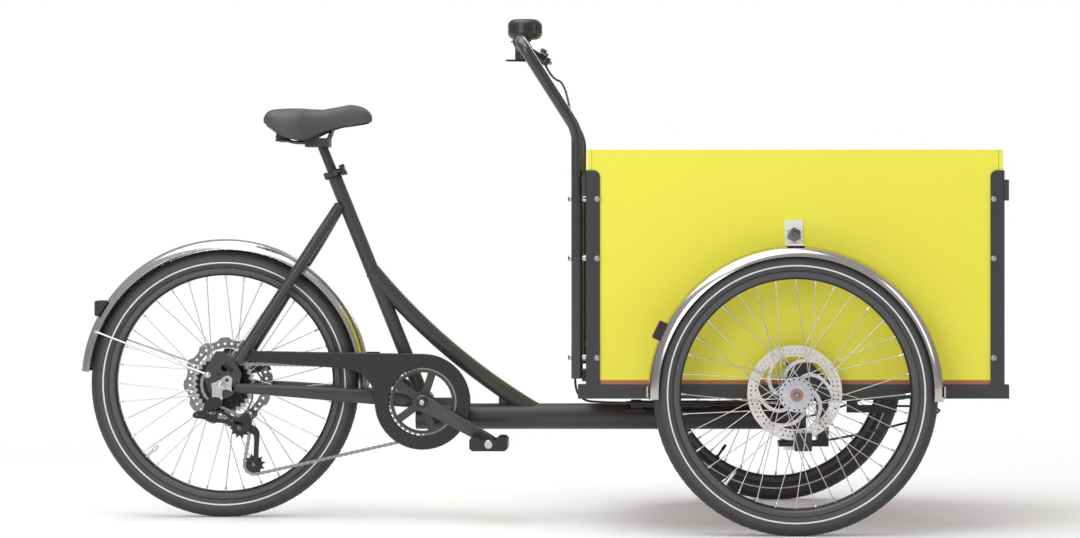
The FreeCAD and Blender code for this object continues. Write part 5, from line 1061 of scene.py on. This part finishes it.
def axle_caps():
    """Sunk sockets in the front axle bolts, and round nuts on the rear axle and the mudguard's eyelets."""
    sockets, caps = [], []
    for side in SIDES.values():
        out = Y * side
        sockets.append((AXLE_SOCKET, Vector((FRONT_AXLE.x, side * AXLE_SOCKET_FACE, FRONT_AXLE.z)), out))
        caps.append((AXLE_DOME, REAR_AXLE + out * AXLE_DOME_FACE, out))
        caps.append((EYELET_DOME, EYELET + out * EYELET_FACE, out))
    turned_piece("axle_bolt_sockets", sockets, bolt_grey, "carrier", "bright_steel", sides=24)
    turned_piece("rear_axle_caps", caps, zinc, "frame", "bright_steel", sides=20)


def guard_bolts():
    """Dark six-sided bolts of the front mudguards' brackets."""
    bolts = [(GUARD_BOLT, Vector((FRONT_AXLE.x, side * GUARD_BOLT_FACE, GUARD_BOLT_Z)), Y * side)
             for side in SIDES.values()]
    turned_piece("guard_bolts", bolts, bolt_grey, "carrier", "dark_steel", sides=6, first=Z)


# Rear axle and derailleur: outlines from the rear axle along X and Z

HANGER = millimetres([
    (-20.8, 3), (-12, 6.4), (-2.4, 10.5), (4.5, 17), (11.9, 20.4), (19.5, 20), (25.4, 14.5), (25.6, 6),
    (24, -3), (25, -14), (20, -12), (12, -10), (4, -13), (3.6, -22), (4.8, -30), (0, -36), (-12, -34),
    (-19.4, -28), (-19, -12),
])
HANGER_SHEET = 0.004
HANGER_HOLE = (0.014, 0.011)
HANGER_BORE = 0.004
DROPOUT_FACE = 0.0735
# Openings in the dropout, drawn as thin dark sheets of painted shade
DROPOUT_WINDOWS = [millimetres(outline) for outline in (
    [(5.6, 42), (9, 50), (13.5, 53), (14, 46), (21, 41), (27, 36), (24.5, 28), (18, 28.5),
     (15, 37), (9, 40)],
    [(31, -2), (34.5, 5), (39, 3), (39.5, -6), (35.5, -9.5), (32, -7)],
    [(-9, 23.5), (-5, 27.5), (0, 23.5), (-5, 21)],
)]
WINDOW_SHEET = 0.001
AXLE_END = millimetres([(58, 6), (58.5, 9.5), (67.3, 9.5), (67.4, 6), (90, 6), (90.5, 5)])
AXLE_NUT = millimetres([(-0.2, 11.5), (1.6, 11.5), (1.8, 9), (8, 8.8), (8.8, 7.8)])
KNUCKLE = millimetres([
    (-23, -28), (-9, -26.5), (0, -31), (4, -38), (0, -48), (-9, -53), (-23, -52.5), (-28.5, -59),
    (-30, -69), (-38, -69), (-38.5, -53), (-34, -38),
])
KNUCKLE_SHEET = 0.0135
KNUCKLE_FACE = 0.0717
LINK_OUTLINES = [millimetres(outline) for outline in (
    [(-64, -67), (-58, -60), (-45, -57.5), (-23, -55.6), (0, -58.5), (18, -67.5), (31, -75), (42, -70.5),
     (52, -66), (62, -70), (67.5, -80), (66, -91), (60, -101), (50, -107), (40, -107.5), (30, -103),
     (21, -93), (5, -85), (-18, -84), (-39, -77), (-60, -73.5)],
    [(-28, -60.8), (-14, -60.5), (-14.5, -66.5), (-28, -66)],
    [(-8.5, -63.5), (2, -65), (17, -74.5), (15, -77.5), (-8, -75)],
    [(29, -81), (34, -81.5), (50, -86), (48, -89), (33, -88)],
)]
LINK_PLATES = (0.066, 0.0573)
LINK_SHEET = 0.003
# Pins of the link: place along X and Z, and radius
LINK_PINS = [
    (-0.034, -0.065, 0.0038), (-0.054, -0.0665, 0.003), (0.04, -0.0965, 0.007), (0.024, -0.08, 0.0032),
]
PIN_FACE = 0.0682
PIN_LENGTH = 0.0124
PIN_BEVEL = 0.0004
PIN_END = 0.6
PIN_BOLT_FACE = 0.068
PIN_BOLT_HEIGHT = 0.0012
PIN_BOLT_SHARE = 0.7
CAGE_ARM = millimetres([
    (31, -97), (33, -89.5), (40, -86.8), (52, -86.5), (64, -90), (76, -98), (81.5, -107), (82, -116),
    (80, -150), (80, -166), (82, -179.5), (78.5, -188), (70.9, -191), (62.5, -187.5), (59.5, -179),
    (63, -169.5), (69, -162), (70.5, -150), (71, -118), (66, -110.5), (54, -105.5), (40, -105.5),
    (33, -103),
])
CAGE_SHEET = 0.002
CAGE_STEP = 0.0025
PULLEYS = (spot("guide_pulley_spin"), spot("tension_pulley_spin"))
PULLEY_BORE = 0.003
PULLEY_HUB = millimetres([(0, 6.2), (0.6, 7.2), (1.4, 7.2), (1.5, 3)])
PULLEY_BOLT = head(SOCKET, 0.004, 0.0016)
PULLEY_BOLT_SINK = 0.0004


def rear_axle_set():
    """Rear axle with its nuts, the cast hanger that carries the derailleur, and thin dark sheets of painted
    shade in the dropout's openings.
    """
    build = bmesh.new()
    add_plate(build, [HANGER, ring(HANGER_BORE, HANGER_HOLE)], HANGER_SHEET,
              REAR_AXLE - Y * (DROPOUT_FACE + HANGER_SHEET / 2))
    for side, seat, sides in ((-1, DROPOUT_FACE + HANGER_SHEET, 40), (1, DROPOUT_FACE, 6)):
        lathe(build, AXLE_END, REAR_AXLE, Y * side, sides=32)
        lathe(build, AXLE_NUT, REAR_AXLE + Y * side * seat, Y * side, sides)
    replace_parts(mesh_piece("rear_axle_set", build, satin_steel, "frame", "bright_steel"), "rear_axle")
    # Painted shade: thin black sheets on the dropout's face stand for the dark of its openings
    build = bmesh.new()
    for outline in DROPOUT_WINDOWS:
        add_plate(build, [outline], WINDOW_SHEET, REAR_AXLE - Y * DROPOUT_FACE)
    mesh_piece("dropout_window_shades", build, hole_black, "frame", "dark_steel")


def derailleur():
    """Derailleur with a knuckle under the hanger, two open side plates on pins, and a bent cage arm."""
    build = bmesh.new()
    add_plate(build, [KNUCKLE], KNUCKLE_SHEET, REAR_AXLE - Y * KNUCKLE_FACE)
    for middle in LINK_PLATES:
        add_plate(build, LINK_OUTLINES, LINK_SHEET, REAR_AXLE - Y * middle)
    bolts = []
    for along, up, radius in LINK_PINS:
        end = radius * PIN_END
        pin = [(0, end), (PIN_BEVEL, radius), (PIN_LENGTH - PIN_BEVEL, radius), (PIN_LENGTH, end)]
        lathe(build, pin, REAR_AXLE + Vector((along, -PIN_FACE, up)), Y, sides=20)
        bolts.append((head(SOCKET, radius * PIN_BOLT_SHARE, PIN_BOLT_HEIGHT),
                      REAR_AXLE + Vector((along, -PIN_BOLT_FACE, up)), -Y))
    body = mesh_piece("derailleur_body", build, derailleur_black, "frame", "black_plastic")
    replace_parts(body, "derailleur_link")
    build = bmesh.new()
    low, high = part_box("derailleur_cage")
    bores = [ring(PULLEY_BORE, middle) for middle in flat(pulley - REAR_AXLE for pulley in PULLEYS)]
    for middle in (low.y + CAGE_STEP, high.y - CAGE_SHEET / 2):
        add_plate(build, [CAGE_ARM] + bores, CAGE_SHEET, Vector((REAR_AXLE.x, middle, REAR_AXLE.z)))
    for pulley in PULLEYS:
        start = Vector((pulley.x, low.y, pulley.z))
        lathe(build, PULLEY_HUB + [(high.y - low.y, PULLEY_BORE)], start, Y, sides=24)
        bolts.append((PULLEY_BOLT, start + Y * PULLEY_BOLT_SINK, -Y))
    cage = mesh_piece("derailleur_arm", build, derailleur_black, "frame", "dark_alloy")
    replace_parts(cage, "derailleur_cage")
    turned_piece("derailleur_bolts", bolts, bolt_grey, "frame", "dark_steel", sides=24)


guard_bolts()
rear_axle_set()
derailleur()
box_domes()
panel_seams()
crank_caps()
for name in SIDES:
    pedal_studs(name)
axle_caps()


# Lights: direction and distance of a lens from a centre, its length and its width

REAR_LENS = (180, 0.2908, 0.03, 0.038)
REAR_LENS_RISE = 0.1686
MARKER_LENS = (155, 0.3265, 0.036, 0.022)
LENS_DEPTH = 0.003
LENS_BEVEL = 0.0014
# Outline of the rear light from the rear axle along X and Z
REAR_LAMP = millimetres([
    (-276, 186), (-287.4, 186), (-290.4, 183), (-290.4, 168), (-290.4, 154.4), (-287.6, 151.4),
    (-283.4, 151.4), (-280.2, 154.2), (-276.7, 160), (-270.6, 170), (-264.3, 179.6), (-262.6, 184),
    (-266, 186),
])
REAR_LAMP_WIDTH = 0.044


def lens(name, centre, light, finish, body, slot):
    """Rounded lens on the outer face of a light that sits on a mudguard."""
    degrees, reach, long, wide = light
    out = polar(1, degrees)
    build = bmesh.new()
    slab(build, centre + out * reach, Y.cross(out), Y, out, (long, wide, LENS_DEPTH), LENS_BEVEL)
    mesh_piece(name, build, finish, body, slot)


def rear_lamp():
    """Housing of the rear light, upright at its back and seated on the curve of the mudguard."""
    build = bmesh.new()
    add_plate(build, [REAR_LAMP], REAR_LAMP_WIDTH, REAR_AXLE)
    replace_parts(mesh_piece("rear_lamp", build, black_plastic, "frame", "black_plastic"), "rear_light")


rear_lamp()
lens("rear_lens", REAR_AXLE + Z * REAR_LENS_RISE, REAR_LENS, red_lens, "frame", "red_lens")
for name in SIDES:
    lens(f"marker_lens_{name}", WHEELS["front_" + name][1], MARKER_LENS, orange_lens, "carrier", "red_lens")


# Stage, light and camera

WHITE = (1, 1, 1, 1)
FLOOR_RADIUS = 40.0
FLOOR_MIDDLE = (0.15, 0.0, 0.0)
# The floor shows its shadows near its middle and turns white between these distances
FLOOR_GLOW = 0.12
GLOW_REACH = (1.2, 2.6)
# What polished metal mirrors, from low to high
SKY_RISE = (-0.4, 0.5)
SKY_LOW = (0.3, 0.3, 0.31, 1)
SKY_HIGH = (0.95, 0.95, 0.95, 1)
WORLD_LEVEL = 0.5
# Each lamp's place, the point it faces, its width and height, and its power
LAMPS = {
    "top_light": ((-0.6, -0.4, 3.6), (0.1, 0, 0.4), 4.0, 3.0, 100),
    "front_light": ((-2.2, -4.2, 2.4), (0.1, 0, 0.5), 2.4, 2.4, 60),
    "back_light": ((1.5, 4.0, 2.6), (0.1, 0, 0.5), 2.4, 2.0, 40),
    "edge_light": ((3.4, -1.6, 1.9), (0.0, 0, 0.4), 0.8, 2.2, 12),
}
IMAGE_WIDTH = 1080
IMAGE_HEIGHT = 538
# Pixel straight ahead of the camera
AXIS_PIXEL = (620, 216)
CAMERA_PLACE = (0.189583, -6.4, 0.677)
LENS_MM = 94.67
SENSOR_MM = 36.0


def stage():
    """Pale floor that turns to plain white away from the object, and keeps its soft shadow."""
    graph = Graph(bpy.data.materials.new("floor_white"))
    graph.tree.nodes.remove(graph.shader)
    diffuse = graph.node("BsdfDiffuse", {"Color": grey(250)})
    glow = graph.node("Emission", {"Color": WHITE, "Strength": 1.0})
    along, across, _ = graph.axes(FLOOR_MIDDLE)
    far = graph.ramp(graph.radius(along, across), *GLOW_REACH, FLOOR_GLOW, 1.0)
    rays = graph.node("LightPath").outputs
    bounced = graph.math("MAXIMUM", rays["Is Glossy Ray"], rays["Is Transmission Ray"])
    share = graph.math("MULTIPLY", far, graph.math("MAXIMUM", rays["Is Camera Ray"], bounced))
    blend = graph.node("MixShader", {0: share, 1: diffuse.outputs[0], 2: glow.outputs[0]})
    graph.feed(graph.tree.nodes["Material Output"].inputs["Surface"], blend.outputs[0])
    build = bmesh.new()
    bmesh.ops.create_circle(build, cap_ends=True, segments=96, radius=FLOOR_RADIUS)
    floor = placed("floor", finished(build, "floor"))
    floor.data.materials.append(graph.owner)


def surroundings():
    """White to the camera; brighter above and dimmer low down for what the metal mirrors."""
    world = bpy.data.worlds.new("studio")
    bpy.context.scene.world = world
    graph = Graph(world, "Background", "Generated")
    mirrored = graph.mix(graph.ramp(graph.axes()[2], *SKY_RISE), SKY_LOW, SKY_HIGH)
    seen = graph.node("LightPath").outputs["Is Camera Ray"]
    graph.set(Color=graph.mix(seen, mirrored, WHITE), Strength=graph.ramp(seen, 0.0, 1.0, WORLD_LEVEL, 1.0))


def softbox(name, place, aim, width, height, power):
    """Large soft lamp that faces a point."""
    lamp = bpy.data.lights.new(name, "AREA")
    lamp.shape = "RECTANGLE"
    lamp.size, lamp.size_y = width, height
    lamp.energy = power
    made = placed(name, lamp)
    made.location = place
    made.rotation_euler = (Vector(aim) - Vector(place)).to_track_quat("-Z", "Y").to_euler()


stage()
surroundings()
for name, settings in LAMPS.items():
    softbox(name, *settings)

view = bpy.data.cameras.new("photo_view")
view.sensor_width = SENSOR_MM
view.lens = LENS_MM
view.shift_x = (IMAGE_WIDTH / 2 - AXIS_PIXEL[0]) / IMAGE_WIDTH
view.shift_y = (AXIS_PIXEL[1] - IMAGE_HEIGHT / 2) / IMAGE_WIDTH
camera = placed("photo_view", view)
camera.location = CAMERA_PLACE
camera.rotation_euler = (math.radians(90), 0, 0)
bpy.context.scene.camera = camera
bpy.context.scene.view_settings.view_transform = "Standard"
